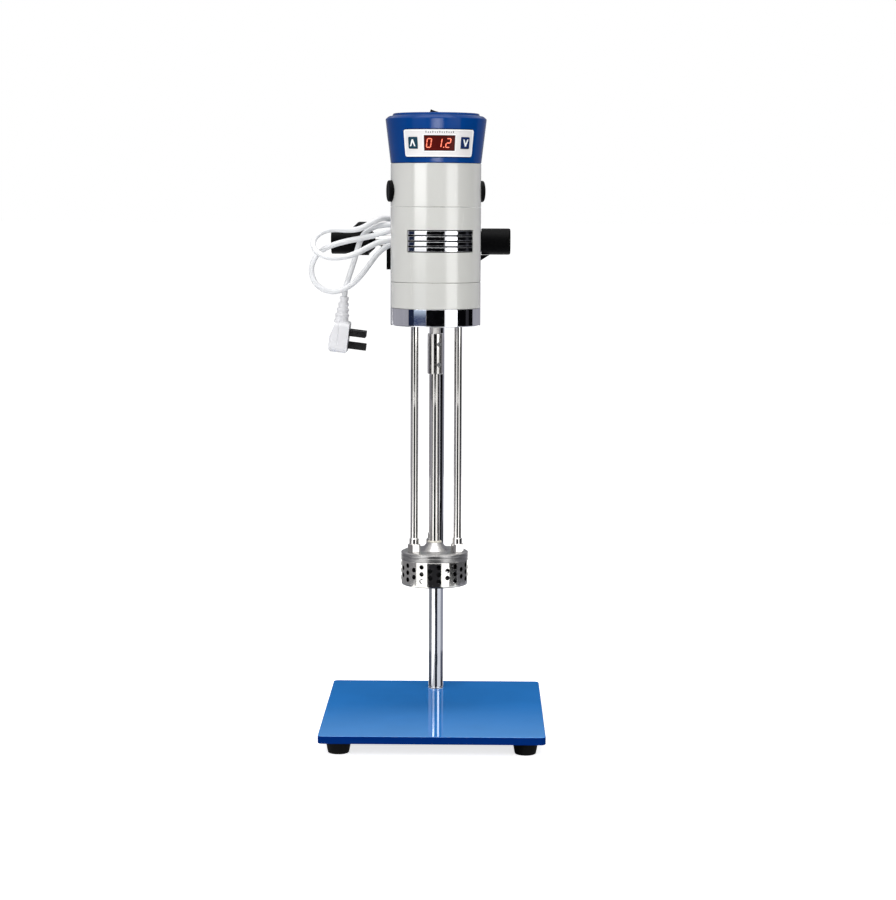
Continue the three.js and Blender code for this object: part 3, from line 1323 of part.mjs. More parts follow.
const LEAD_POINTS = [
  [-19.1, 76.5, 570],
  [-20.8, 83.2, 570],
  [-23.7, 96.6, 564.1],
  [-29.3, 103.8, 553.4],
  [-36.4, 103.1, 543.1],
  [-44.7, 94.7, 534.9],
  [-51.5, 81.3, 533.2],
  [-58.5, 69.4, 533.5],
  [-67.2, 62.3, 530],
  [-82.3, 60, 522.5],
  [-95.8, 62.1, 521.4],
  [-109.6, 63.1, 521.8],
  [-121.5, 59.4, 518.7],
  [-128.4, 52.4, 512.5],
  [-129.4, 43.8, 504.7],
  [-123.7, 35.5, 497.4],
  [-111.4, 30.3, 493],
  [-97, 30.5, 493.5],
  [-84.7, 33.7, 497],
  [-73.3, 38.1, 502.7],
  [-60.8, 42.7, 508.6],
  [-47.5, 46.4, 511.3],
  [-29.9, 49.6, 510.4],
  [-12.3, 51.6, 507.7],
  [4.6, 52.6, 505.6],
  [21.9, 53.6, 506.6],
  [33, 55, 514.2],
  [38, 57, 527.6],
  [33.6, 59.1, 541.8],
  [21.7, 60.5, 550.4],
  [4.9, 61.1, 550.2],
  [-11.9, 61.2, 542],
  [-27.2, 61.5, 532.1],
  [-41.8, 61.8, 524.1],
  [-55.4, 62, 518.8],
  [-68.1, 62.1, 515.3],
  [-82.9, 62, 512.1],
  [-97.7, 62, 509],
  [-111.5, 62, 504.8],
  [-122.6, 62, 498.8],
  [-130, 62, 489.8],
  [-132.8, 62, 478.2],
  [-129.5, 61.9, 466.8],
  [-121.2, 61.9, 459],
  [-109.6, 61.9, 456.2],
  [-97.8, 62, 459.2],
  [-87.2, 62.3, 466.2],
  [-78.8, 62.9, 475.2],
  [-71.4, 64, 485.1],
  [-63.8, 65.6, 495.1],
  [-54.9, 67.5, 503],
  [-42.8, 69.7, 507.8],
  [-26.6, 71.8, 508.6],
  [-10.1, 73, 506.8],
  [5.2, 73.6, 505.4],
  [21.2, 73.9, 507.1],
  [32.6, 74.3, 514.6],
  [38, 74.9, 528.2],
  [33.8, 75.6, 542.8],
  [20.7, 76.1, 552.1],
  [3.6, 76.2, 551.7],
  [-10.5, 75.4, 544.4],
  [-24.2, 74, 534.8],
  [-37.6, 72.7, 528.8],
  [-56.5, 71.5, 526.5],
  [-67.3, 71.3, 524.2],
  [-75.7, 71.6, 518.8],
  [-81.3, 72, 510.1],
  [-84.8, 72.3, 499.8],
  [-87.7, 72.3, 489.7],
  [-91.1, 72.2, 479.1],
  [-96.1, 72, 463.8],
  [-97.4, 72, 457.7],
  [-98.3, 72, 450.8],
];

// The points' own spline. Its ends run straight into the gland's tip and into the plug.
class LeadPath extends THREE.CatmullRomCurve3 {
  constructor(points) {
    super(points.map((point) => new THREE.Vector3(...point)), false, 'centripetal');
    this.arcLengthDivisions = 8 * LEAD_STEPS;
  }
}

const leadPath = new LeadPath(LEAD_POINTS);

// The least free space between two stretches of the lead that are some way apart along it
function leastSelfGap() {
  const count = 4 * LEAD_STEPS;
  const points = leadPath.getSpacedPoints(count);
  const apart = Math.ceil((count * 10 * LEAD_RADIUS) / leadPath.getLength());
  let least = Infinity;
  for (let i = 0; i < points.length; i += 1) {
    for (let j = i + apart; j < points.length; j += 1) {
      least = Math.min(least, points[i].distanceTo(points[j]));
    }
  }
  return least - 2 * LEAD_RADIUS;
}

function mainsLead() {
  const section = new THREE.Shape();
  for (let i = 0; i < LEAD_SIDES; i += 1) {
    const angle = (2 * Math.PI * i) / LEAD_SIDES;
    const corner = [LEAD_RADIUS * Math.cos(angle), LEAD_RADIUS * Math.sin(angle)];
    if (i) section.lineTo(...corner);
    else section.moveTo(...corner);
  }
  section.closePath();
  return new THREE.ExtrudeGeometry(section, {
    steps: LEAD_STEPS,
    extrudePath: leadPath,
    bevelEnabled: false,
  });
}

// Plug. It hangs from the lead with its back to the left and its pins to the right.

const plugBottom = -PLUG_RELIEF_LENGTH - PLUG_HEIGHT;
const livePinLevel = -PLUG_RELIEF_LENGTH - PIN_DROP;
const pinPlaces = {
  plug_pin_front: [-PIN_SPACING / 2, livePinLevel, PIN_LENGTH, PIN_WIDTH],
  plug_pin_back: [PIN_SPACING / 2, livePinLevel, PIN_LENGTH, PIN_WIDTH],
  plug_pin_earth: [0, -PLUG_RELIEF_LENGTH - EARTH_DROP, EARTH_LENGTH, EARTH_WIDTH],
};

// A plug pin, or with some play the pocket that it is seated in
function plugPin([y, level, reach, width], play) {
  const half = [PIN_THICK / 2 + play, width / 2 + play];
  return block([PLUG_FRONT - PIN_SEAT - play, y - half[0], level - half[1]],
    [PLUG_FRONT + reach, y + half[0], level + half[1]]);
}

function plugRelief() {
  const outline = [[0, 0], [PLUG_RELIEF_TIP_RADIUS, 0]];
  const pitch = PLUG_RELIEF_LENGTH / (2 * PLUG_RIBS + 1);
  const growth = (PLUG_RELIEF_RADIUS - PLUG_RELIEF_TIP_RADIUS) / (2 * PLUG_RIBS);
  for (let i = 0; i < 2 * PLUG_RIBS; i += 1) {
    const groove = i % 2 ? GLAND_RIB_DEPTH : 0;
    const radius = PLUG_RELIEF_TIP_RADIUS + growth * i - groove;
    outline.push([radius, -pitch * (i + 1 / 2)]);
    outline.push([radius, -pitch * (i + 1)]);
  }
  const bottom = -PLUG_RELIEF_LENGTH - PLUG_BEVEL;
  outline.push([PLUG_RELIEF_RADIUS, bottom], [0, bottom]);
  return revolve(outline, PIN_SIDES);
}

function plugBody() {
  const face = roundedRectangle(PLUG_HEIGHT, PLUG_WIDTH, PLUG_CORNER);
  const middle = -PLUG_RELIEF_LENGTH - PLUG_HEIGHT / 2;
  const outline = alongX(prism(face, -PLUG_BACK, PLUG_FRONT, 2)).translate(0, 0, middle);
  const chamfer = PLUG_BEVEL / 2;
  const profile = new THREE.Shape();
  profile.moveTo(-PLUG_BACK / 2, -PLUG_RELIEF_LENGTH);
  profile.lineTo(PLUG_FRONT - chamfer, -PLUG_RELIEF_LENGTH);
  profile.lineTo(PLUG_FRONT, -PLUG_RELIEF_LENGTH - chamfer);
  profile.lineTo(PLUG_FRONT, plugBottom + chamfer);
  profile.lineTo(PLUG_FRONT - chamfer, plugBottom);
  profile.lineTo(-PLUG_BACK + PLUG_BEVEL, plugBottom);
  profile.lineTo(-PLUG_BACK, plugBottom + PLUG_BEVEL);
  profile.lineTo(-PLUG_BACK, middle);
  profile.closePath();
  const reach = PLUG_WIDTH / 2 + OVERRUN;
  const side = prism(profile, -reach, reach, 1).rotateX(Math.PI / 2);
  const pockets = Object.values(pinPlaces).map((place) => plugPin(place, GAP));
  return cut(join(common(outline, side), plugRelief()), ...pockets);
}

function makeLead() {
  add(groupAt(homogenizer, 0, 0, HEAD_BASE + GLAND_LEVEL), 'cord_gland', gland(), RUBBER);
  add(homogenizer, 'mains_lead', toGeometry(toSolid(mainsLead())), WHITE_PVC);
  console.log(`Least gap of the lead to itself: ${leastSelfGap().toFixed(2)} mm`);
  const plug = groupAt(homogenizer, ...PLUG_PLACE);
  plug.rotation.y = radians(PLUG_TURN);
  add(plug, 'plug_body', plugBody(), WHITE_PVC);
  for (const [name, place] of Object.entries(pinPlaces)) {
    add(plug, name, toGeometry(toSolid(plugPin(place, 0))), DARK_STEEL);
  }
}

makeStand();
makeWorkHead();
makeHead();
makeCoupling();
makeClamp();
makeLead();

export default homogenizer;
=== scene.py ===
import math

import bmesh
import bpy
from bpy.props import FloatProperty, FloatVectorProperty, IntProperty, PointerProperty
from mathutils import Matrix, Vector


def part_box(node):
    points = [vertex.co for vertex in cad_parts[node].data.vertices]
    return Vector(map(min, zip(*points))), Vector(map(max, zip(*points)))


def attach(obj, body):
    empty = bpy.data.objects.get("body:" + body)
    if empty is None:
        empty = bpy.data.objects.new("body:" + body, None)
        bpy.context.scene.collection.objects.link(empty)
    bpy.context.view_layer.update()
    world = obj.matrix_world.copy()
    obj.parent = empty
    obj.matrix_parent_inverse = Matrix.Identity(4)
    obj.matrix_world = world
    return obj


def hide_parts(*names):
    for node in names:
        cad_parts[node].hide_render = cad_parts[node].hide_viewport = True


bl_info = {
    "name": "Laboratory Homogenizer",
    "version": (1, 0, 0),
    "blender": (4, 5, 0),
    "location": "View3D > Sidebar > Homogenizer",
    "description": "Builds the finished look of a bench homogenizer over its packed frame",
    "category": "Object",
}

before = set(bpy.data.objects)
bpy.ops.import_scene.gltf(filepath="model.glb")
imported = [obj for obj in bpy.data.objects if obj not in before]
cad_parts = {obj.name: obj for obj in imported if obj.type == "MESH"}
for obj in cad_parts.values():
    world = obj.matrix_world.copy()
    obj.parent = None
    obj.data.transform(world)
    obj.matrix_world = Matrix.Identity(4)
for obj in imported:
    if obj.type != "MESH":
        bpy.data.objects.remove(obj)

MM = 0.001
ALONG_X = Matrix.Rotation(math.pi / 2, 4, "Y")

# Slack between neighbouring solids of the part
GAP = 0.3 * MM

# Edges that turn by more than this stay sharp
SHARP = math.radians(38)

# Depth of the fine relief in paint and in metal
PAINT_RELIEF = 0.2 * MM
METAL_RELIEF = 0.1 * MM

# Nodes that come in sets
FEET = ("foot_front_left", "foot_front_right", "foot_rear_left", "foot_rear_right")
RODS = ("support_rod_left", "support_rod_right", "support_rod_rear")
SET_SCREWS = ("set_screw_lower", "set_screw_upper")

# Middle line of the mains lead, in metres: the same points as in the part's source
LEAD_POINTS = [
    (-0.0191, 0.0765, 0.57), (-0.0208, 0.0832, 0.57), (-0.0237, 0.0966, 0.5641),
    (-0.0293, 0.1038, 0.5534), (-0.0364, 0.1031, 0.5431), (-0.0447, 0.0947, 0.5349),
    (-0.0515, 0.0813, 0.5332), (-0.0585, 0.0694, 0.5335), (-0.0672, 0.0623, 0.53),
    (-0.0823, 0.06, 0.5225), (-0.0958, 0.0621, 0.5214), (-0.1096, 0.0631, 0.5218),
    (-0.1215, 0.0594, 0.5187), (-0.1284, 0.0524, 0.5125), (-0.1294, 0.0438, 0.5047),
    (-0.1237, 0.0355, 0.4974), (-0.1114, 0.0303, 0.493), (-0.097, 0.0305, 0.4935),
    (-0.0847, 0.0337, 0.497), (-0.0733, 0.0381, 0.5027), (-0.0608, 0.0427, 0.5086),
    (-0.0475, 0.0464, 0.5113), (-0.0299, 0.0496, 0.5104), (-0.0123, 0.0516, 0.5077),
    (0.0046, 0.0526, 0.5056), (0.0219, 0.0536, 0.5066), (0.033, 0.055, 0.5142),
    (0.038, 0.057, 0.5276), (0.0336, 0.0591, 0.5418), (0.0217, 0.0605, 0.5504),
    (0.0049, 0.0611, 0.5502), (-0.0119, 0.0612, 0.542), (-0.0272, 0.0615, 0.5321),
    (-0.0418, 0.0618, 0.5241), (-0.0554, 0.062, 0.5188), (-0.0681, 0.0621, 0.5153),
    (-0.0829, 0.062, 0.5121), (-0.0977, 0.062, 0.509), (-0.1115, 0.062, 0.5048),
    (-0.1226, 0.062, 0.4988), (-0.13, 0.062, 0.4898), (-0.1328, 0.062, 0.4782),
    (-0.1295, 0.0619, 0.4668), (-0.1212, 0.0619, 0.459), (-0.1096, 0.0619, 0.4562),
    (-0.0978, 0.062, 0.4592), (-0.0872, 0.0623, 0.4662), (-0.0788, 0.0629, 0.4752),
    (-0.0714, 0.064, 0.4851), (-0.0638, 0.0656, 0.4951), (-0.0549, 0.0675, 0.503),
    (-0.0428, 0.0697, 0.5078), (-0.0266, 0.0718, 0.5086), (-0.0101, 0.073, 0.5068),
    (0.0052, 0.0736, 0.5054), (0.0212, 0.0739, 0.5071), (0.0326, 0.0743, 0.5146),
    (0.038, 0.0749, 0.5282), (0.0338, 0.0756, 0.5428), (0.0207, 0.0761, 0.5521),
    (0.0036, 0.0762, 0.5517), (-0.0105, 0.0754, 0.5444), (-0.0242, 0.074, 0.5348),
    (-0.0376, 0.0727, 0.5288), (-0.0565, 0.0715, 0.5265), (-0.0673, 0.0713, 0.5242),
    (-0.0757, 0.0716, 0.5188), (-0.0813, 0.072, 0.5101), (-0.0848, 0.0723, 0.4998),
    (-0.0877, 0.0723, 0.4897), (-0.0911, 0.0722, 0.4791), (-0.0961, 0.072, 0.4638),
    (-0.0974, 0.072, 0.4577), (-0.0983, 0.072, 0.4508),
]


def length(name, default, description):
    """A length in metres that a panel can show."""
    return FloatProperty(
        name=name, description=description, default=default, unit="LENGTH", subtype="DISTANCE",
        precision=5)


def angle(name, degrees, description):
    """An angle that a panel can show. It is stored in radians."""
    return FloatProperty(
        name=name, description=description, default=math.radians(degrees), unit="ROTATION",
        subtype="ANGLE")


def share(name, default, description):
    """A plain number."""
    return FloatProperty(name=name, description=description, default=default)


def rgb(red, green, blue):
    """An sRGB colour from 0 to 255 as a linear colour."""
    def linear(value):
        value /= 255
        return value / 12.92 if value <= 0.04045 else ((value + 0.055) / 1.055) ** 2.4
    return (linear(red), linear(green), linear(blue), 1.0)


def tint(name, red, green, blue, description):
    """A colour, given in sRGB from 0 to 255."""
    return FloatVectorProperty(
        name=name, description=description, default=rgb(red, green, blue)[:3], subtype="COLOR",
        size=3, min=0, max=1)


# Sizes that the panel shows

class StandSizes(bpy.types.PropertyGroup):
    """Sizes of the stand's finer forms"""

    plate_corner: length("Plate corner", 5 * MM, "Radius of the plate's corners seen from above")
    plate_edge: length("Plate edge", 0.7 * MM, "Rounding of the plate's upper and lower edges")
    foot_base: length("Foot base", 10.6 * MM, "Radius of a foot where it meets the bench")
    foot_round: length("Foot rounding", 1.3 * MM, "Rounding of a foot's lower edge")
    foot_recess: length("Foot recess", 4 * MM, "Radius of the screw hole under a foot")
    post_chamfer: length("Post chamfer", 1 * MM, "Chamfer at the top of the post")


class WorkHeadSizes(bpy.types.PropertyGroup):
    """Sizes of the perforated stator, its cover and the rods"""

    wall: length("Stator wall", 3 * MM, "Thickness of the perforated wall")
    rounding: length("Stator rounding", 2 * MM, "Rounding of the stator's lower edge")
    intake: length("Intake", 24 * MM, "Radius of the opening under the rotor")
    lip: length("Intake lip", 2.5 * MM, "Thickness of the lip round the intake")
    columns: IntProperty(name="Hole columns", description="Columns of holes", default=24)
    first_hole: angle("First hole", 8.5, "Angle of the first three-hole column from the front")
    hole: length("Hole", 2.5 * MM, "Radius of a hole")
    lift: length("Hole lift", 1.5 * MM, "Height of the middle hole over the wall's middle")
    pitch: length("Hole pitch", 7.35 * MM, "Rise from one hole to the next")
    cover_groove: length("Cover groove", 0.8 * MM, "Depth of the groove round the cover")
    cover_round: length("Cover rounding", 2.5 * MM, "Slope at the cover's upper edge")
    cover_rise: length("Cover", 8.5 * MM, "Height of the cover's rim")
    cover_spigot: length("Cover spigot", 3 * MM, "Depth of the cover's collar inside the stator")
    cone_base: length("Cone base", 15 * MM, "Radius of the cone on the cover at its foot")
    cone_top: length("Cone top", 7.6 * MM, "Radius of the cone on the cover at its tip")
    rod: length("Rod", 4 * MM, "Radius of a support rod")
    hexagon: length("Rod hexagon", 12 * MM, "Width across the flats of a rod's hexagon")
    hexagon_rise: length("Hexagon height", 8.5 * MM, "Height of a rod's hexagon")
    collar: length("Rod collar", 5 * MM, "Radius of the collar over a rod's hexagon")
    collar_rise: length("Collar height", 6 * MM, "Height of a rod's collar")


class MotorHeadSizes(bpy.types.PropertyGroup):
    """Sizes of the motor head's shells, vent and brush caps"""

    ring_bevel: length("Ring bevel", 0.8 * MM, "Slope at the chromed ring's lower edge")
    seam: length("Seam", 0.6 * MM, "Rounding at each seam between two shells")
    wall: length("Shell wall", 3.5 * MM, "Thickness of the shells")
    vent_left: angle("Vent left", -37.8, "Left end of the vent, from the front")
    vent_right: angle("Vent right", 56.5, "Right end of the vent, from the front")
    vent_rim: length("Vent rim", 0.7 * MM, "Width of the grille's rim")
    slats: IntProperty(name="Slats", description="Polished slats across the vent", default=4)
    slat: length("Slat", 4.0 * MM, "Height of one slat")
    cap_turn: angle("Brush caps", 12, "Turn of the line through the brush caps")


class DisplaySizes(bpy.types.PropertyGroup):
    """Sizes of the blue cap and its wrapped panel"""

    turn: angle("Panel turn", 5.0, "Turn of the panel's middle from the front")
    spread: angle("Panel spread", 43.0, "Half the angle that the panel covers")
    bottom: length("Panel bottom", 6.2 * MM, "Rise of the panel over the cap's lower edge")
    height: length("Panel height", 27.1 * MM, "Height of the panel")
    corner: length("Panel corner", 2.2 * MM, "Radius of the panel's corners")
    thick: length("Panel", 1.2 * MM, "Thickness of the panel")
    window_turn: angle("Window turn", 5.2, "Turn of the window's middle from the front")
    window_spread: angle("Window spread", 18.3, "Half the angle that the window covers")
    window_bottom: length("Window bottom", 12.0 * MM, "Rise of the window over the cap's edge")
    window_height: length("Window height", 15.6 * MM, "Height of the window")
    key_turn: angle("Key turn", 31.5, "Angle between the panel's middle and a key")
    key_width: length("Key width", 9.8 * MM, "Width of a key")
    key_height: length("Key height", 11.3 * MM, "Height of a key")
    key_rise: length("Key rise", 20 * MM, "Rise of the keys' middle over the cap's edge")


class ClampSizes(bpy.types.PropertyGroup):
    """Sizes of the clamp's casting, grip and knob"""

    sleeve: length("Sleeve", 17 * MM, "Radius of the sleeve round the post")
    barrel: length("Barrel", 11 * MM, "Radius of the barrel on the grip's side")
    boss: length("Boss", 9.5 * MM, "Radius of the boss on the knob's side")
    web: length("Web", 9 * MM, "Thickness of the web under the barrel")
    lobe: length("Lobe", 20.6 * MM, "Reach of a lobe of the knob")
    waist: length("Waist", 14.5 * MM, "Reach of the knob between two lobes")
    hub: length("Hub", 14 * MM, "Radius of the knob's round middle")


class LeadSizes(bpy.types.PropertyGroup):
    """Sizes of the mains lead, its gland and its plug"""

    lead: length("Lead", 6 * MM, "Diameter of the mains lead")
    tilt: angle("Plug tilt", 7, "Lean of the hanging plug")
    relief: length("Plug relief", 26 * MM, "Length of the plug's ribbed relief")
    body: length("Plug body", 33 * MM, "Length of the plug's body under the relief")
    width: length("Plug width", 38 * MM, "Width of the plug's body")


class StageSizes(bpy.types.PropertyGroup):
    """Camera, floor and studio light"""

    lens: share("Lens", 90.01, "Focal length in millimetres")
    pitch: angle("Pitch", 6.241, "How far the camera looks down")
    yaw: angle("Yaw", 0.704, "How far the camera looks to the left")
    roll: angle("Roll", 0.25, "Turn of the camera about its own line of sight")
    left: share("Left light", 11.3, "Power of the left softbox in watts")
    right: share("Right light", 6.2, "Power of the right softbox in watts")
    top: share("Top light", 20, "Power of the softbox over the object in watts")
    sheen: share("Cap sheen", 15, "Power of the larger of the cap's two low softboxes in watts")
    world: share("World", 0.45, "Strength of the even light from all sides")


class Colours(bpy.types.PropertyGroup):
    """Base colours of the finishes"""

    blue_enamel: tint("Plate", 52, 137, 222, "Blue enamel of the base plate")
    blue_cap: tint("Cap", 3, 51, 112, "Blue plastic of the cap")
    cream_enamel: tint("Shells", 209, 209, 205, "Pale enamel of the motor's shells")
    white_panel: tint("Panel", 236, 234, 234, "White foil of the panel")
    # The lip is real; its whiter colour is a painted highlight along the panel's edge
    panel_edge: tint("Panel lip", 252, 252, 252, "Raised lip round the panel")
    # Painted shadow: a dark band round the panel stands in for the shadow along its edge
    gasket: tint("Panel seal", 4, 26, 62, "Thin dark seal round the panel")
    window: tint("Window", 78, 6, 2, "Dark red window of the display")
    segment: tint("Digits", 255, 120, 92, "Lit segments of the display")
    tick: tint("Marks", 58, 60, 66, "Printed marks over the window")
    key_teal: tint("Up key", 4, 56, 76, "Key on the left")
    key_blue: tint("Down key", 4, 38, 92, "Key on the right")
    glyph: tint("Key marks", 244, 246, 248, "Raised marks on the keys")
    chrome: tint("Chrome", 236, 237, 240, "Plating of the ring and the grille")
    post: tint("Post", 216, 218, 224, "Plating of the post")
    steel: tint("Steel", 226, 224, 221, "Ground steel of the rods, the shaft and the clamp's screw")
    turned_steel: tint("Turned steel", 234, 233, 229, "Steel of the stator")
    cover_steel: tint("Cover", 176, 175, 174, "Matt steel of the stator's cover")
    # Dark for the field's iron, and painted shade on the rotor and its nut deep in the stator
    rotor_steel: tint("Rotor", 46, 46, 48, "Dark steel of the rotor, its nut and the motor's field")
    dark_steel: tint("Dark steel", 152, 153, 155, "Small screws")
    copper: tint("Copper", 220, 166, 130, "Windings, commutator and brush holders")
    black_plastic: tint("Black plastic", 5, 5, 6, "Grip, knob, brush caps and fan")
    black_cast: tint("Casting", 5, 5, 6, "Black paint of the clamp")
    gloss_black: tint("Rocker", 9, 9, 10, "Glossy black of the power rocker")
    rubber: tint("Rubber", 12, 12, 12, "Feet and gland")
    nylon: tint("Nylon", 226, 222, 210, "Liner of the clamp and bush of the shaft")
    white_sheath: tint("Lead", 236, 237, 239, "Sheath of the mains lead")
    white_plug: tint("Plug", 234, 234, 237, "Plug's body")
    # Painted shade: the pins' dark colour stands in for the shade on them
    pin_black: tint("Pins", 20, 20, 21, "Blackened pins of the plug")
    board: tint("Board", 26, 92, 52, "Control board behind the display")
    carbon: tint("Brushes", 36, 36, 38, "Carbon brushes")


class HomogenizerSizes(bpy.types.PropertyGroup):
    """All sizes and colours of the homogenizer"""

    stand: PointerProperty(type=StandSizes)
    work: PointerProperty(type=WorkHeadSizes)
    head: PointerProperty(type=MotorHeadSizes)
    display: PointerProperty(type=DisplaySizes)
    clamp: PointerProperty(type=ClampSizes)
    lead: PointerProperty(type=LeadSizes)
    colours: PointerProperty(type=Colours)
    stage: PointerProperty(type=StageSizes)


# Outlines

def soften(outline, radius, steps, closed=False):
    """The outline with every inner corner turned into a short curve."""
    nearly_straight, most_of_edge = 0.06, 0.45
    count = len(outline)
    result = []
    for i, corner in enumerate(outline):
        if not closed and i in (0, count - 1):
            result.append(tuple(corner))
            continue
        middle = Vector(corner)
        to_last = Vector(outline[i - 1]) - middle
        to_next = Vector(outline[(i + 1) % count]) - middle
        if abs(to_last.angle(to_next) - math.pi) < nearly_straight:
            result.append(tuple(corner))
            continue
        reach = min(radius, to_last.length * most_of_edge, to_next.length * most_of_edge)
        start = middle + to_last.normalized() * reach
        end = middle + to_next.normalized() * reach
        for step in range(steps + 1):
            t = step / steps
            point = start * (1 - t) ** 2 + middle * 2 * t * (1 - t) + end * t ** 2
            result.append(tuple(point))
    return result


def rectangle(left, right, bottom, top):
    """Corners of a rectangle, anticlockwise."""
    return [(left, bottom), (right, bottom), (right, top), (left, top)]


def rounded_rectangle(width, height, radius, steps=8):
    """A rectangle about the origin with round corners."""
    points = []
    corners = [(1, 1, 0), (-1, 1, 90), (-1, -1, 180), (1, -1, 270)]
    for side_x, side_y, start in corners:
        x, y = side_x * (width / 2 - radius), side_y * (height / 2 - radius)
        for step in range(steps + 1):
            turn = math.radians(start + 90 * step / steps)
            points.append((x + radius * math.cos(turn), y + radius * math.sin(turn)))
    return points


def bar(radius, low, high):
    """Outline of a plain round bar for the lathe."""
    return [(0, low), (radius, low), (radius, high), (0, high)]


# Meshes

def add_lathe(bm, outline, sides, matrix=Matrix(), closed=False):
    """Spins an outline of (radius, height) points round Z and adds it to bm."""
    on_axis = 1e-7
    rings = []
    for radius, height in outline:
        if radius < on_axis:
            rings.append([bm.verts.new(matrix @ Vector((0, 0, height)))])
            continue
        ring = []
        for i in range(sides):
            turn = 2 * math.pi * i / sides
            ring.append(bm.verts.new(
                matrix @ Vector((radius * math.cos(turn), radius * math.sin(turn), height))))
        rings.append(ring)
    pairs = list(zip(rings, rings[1:]))
    if closed:
        pairs.append((rings[-1], rings[0]))
    for low, high in pairs:
        if len(low) == 1 and len(high) == 1:
            continue
        for i in range(sides):
            j = (i + 1) % sides
            if len(low) == 1:
                bm.faces.new((low[0], high[j], high[i]))
            elif len(high) == 1:
                bm.faces.new((low[i], low[j], high[0]))
            else:
                bm.faces.new((low[i], low[j], high[j], high[i]))


def add_prism(bm, outline, bottom, top, matrix=Matrix()):
    """Raises a flat outline of (x, y) points from bottom to top along Z and adds it to bm."""
    low = [bm.verts.new(matrix @ Vector((x, y, bottom))) for x, y in outline]
    high = [bm.verts.new(matrix @ Vector((x, y, top))) for x, y in outline]
    bm.faces.new(list(reversed(low)))
    bm.faces.new(high)
    count = len(outline)
    for i in range(count):
        j = (i + 1) % count
        bm.faces.new((low[i], low[j], high[j], high[i]))


def add_box(bm, low, high, matrix=Matrix()):
    """Adds an upright box between two corners to bm."""
    add_prism(bm, rectangle(low[0], high[0], low[1], high[1]), low[2], high[2], matrix)


def add_slab(bm, left, right, bottom, top, inner, outer, strips):
    """A flat plate in strips, ready to be wrapped: x along the wall, y up, z outwards."""
    columns = []
    for i in range(strips + 1):
        x = left + (right - left) * i / strips
        columns.append([bm.verts.new(corner) for corner in (
            (x, bottom, inner), (x, bottom, outer), (x, top, outer), (x, top, inner))])
    for first, second in zip(columns, columns[1:]):
        for i in range(4):
            j = (i + 1) % 4
            bm.faces.new((first[i], first[j], second[j], second[i]))
    bm.faces.new(list(reversed(columns[0])))
    bm.faces.new(columns[-1])


def lathe(outline, sides, matrix=Matrix(), closed=False):
    """A new bmesh of one spun outline."""
    bm = bmesh.new()
    add_lathe(bm, outline, sides, matrix, closed)
    return bm


def prism(outline, bottom, top, matrix=Matrix()):
    """A new bmesh of one raised outline."""
    bm = bmesh.new()
    add_prism(bm, outline, bottom, top, matrix)
    return bm


def combine(first, second, operation):
    """first with second cut out of it, joined to it or as its limit. Both are used up."""
    holders = []
    for bm in (first, second):
        bmesh.ops.recalc_face_normals(bm, faces=bm.faces)
        mesh = bpy.data.meshes.new("loose")
        bm.to_mesh(mesh)
        bm.free()
        holder = bpy.data.objects.new("loose", mesh)
        bpy.context.scene.collection.objects.link(holder)
        holders.append(holder)
    modifier = holders[0].modifiers.new("combine", "BOOLEAN")
    modifier.operation = operation
    modifier.solver = "EXACT"
    modifier.object = holders[1]
    graph = bpy.context.evaluated_depsgraph_get()
    graph.update()
    evaluated = holders[0].evaluated_get(graph)
    result = bmesh.new()
    result.from_mesh(evaluated.to_mesh())
    evaluated.to_mesh_clear()
    for holder in holders:
        mesh = holder.data
        bpy.data.objects.remove(holder)
        bpy.data.meshes.remove(mesh)
    return result


def bevel_edges(bm, width, segments, limit=30):
    """Rounds the edges of bm that turn by more than the limit in degrees."""
    bmesh.ops.remove_doubles(bm, verts=bm.verts, dist=1e-6)
    bmesh.ops.dissolve_limit(
        bm, angle_limit=math.radians(1), verts=bm.verts, edges=bm.edges, delimit=set())
    bmesh.ops.recalc_face_normals(bm, faces=bm.faces)
    edges = [
        edge for edge in bm.edges
        if len(edge.link_faces) == 2 and edge.calc_face_angle(0) > math.radians(limit)]
    bmesh.ops.bevel(
        bm, geom=edges, offset=width, offset_type="OFFSET", segments=segments, profile=0.5,
        affect="EDGES", clamp_overlap=True)


def wrap(bm, place):
    """Bends a flat bmesh with the function place(x, y, z)."""
    for vertex in bm.verts:
        vertex.co = Vector(place(*vertex.co))
    return bm


def moved(bm, matrix):
    """Moves and turns the whole of bm."""
    for vertex in bm.verts:
        vertex.co = matrix @ vertex.co
    return bm


def make_piece(name, bm, look, body, stands_for=()):
    """Turns bm into an object with a finish, which rides on a body of the frame."""
    bmesh.ops.remove_doubles(bm, verts=bm.verts, dist=2e-7)
    bmesh.ops.recalc_face_normals(bm, faces=bm.faces)
    for face in bm.faces:
        face.smooth = True
    for edge in bm.edges:
        if len(edge.link_faces) == 2:
            edge.smooth = edge.calc_face_angle(0) < SHARP
    mesh = bpy.data.meshes.new(name)
    bm.to_mesh(mesh)
    bm.free()
    mesh.materials.append(finish(look))
    piece = bpy.data.objects.new(name, mesh)
    bpy.context.scene.collection.objects.link(piece)
    weighted = piece.modifiers.new("even shading", "WEIGHTED_NORMAL")
    weighted.keep_sharp = True
    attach(piece, body)
    if stands_for:
        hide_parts(*stands_for)
    return piece


def dress(node, look):
    """Gives a CAD node a finish and keeps its shape."""
    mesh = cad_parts[node].data
    mesh.materials.clear()
    mesh.materials.append(finish(look))


# Places

def span(node):
    """Lowest and highest point of a node along Z."""
    low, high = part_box(node)
    return low.z, high.z


def centre_of(node):
    """Middle of a node's box."""
    low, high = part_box(node)
    return (low + high) / 2


def radius_of(node):
    """Half of a round node's width."""
    low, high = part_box(node)
    return (high.x - low.x) / 2


def turned(turn, radius, height):
    """A point at an angle from the front, towards +X."""
    return (radius * math.sin(turn), -radius * math.cos(turn), height)


def standing_at(point):
    """Matrix that moves a form sideways to a point and keeps its height."""
    return Matrix.Translation((point.x, point.y, 0))


def outwards(turn, height):
    """Matrix that lays the Z axis along the radius at an angle from +X and at a height."""
    return Matrix.Translation((0, 0, height)) @ Matrix.Rotation(turn, 4, "Z") @ ALONG_X


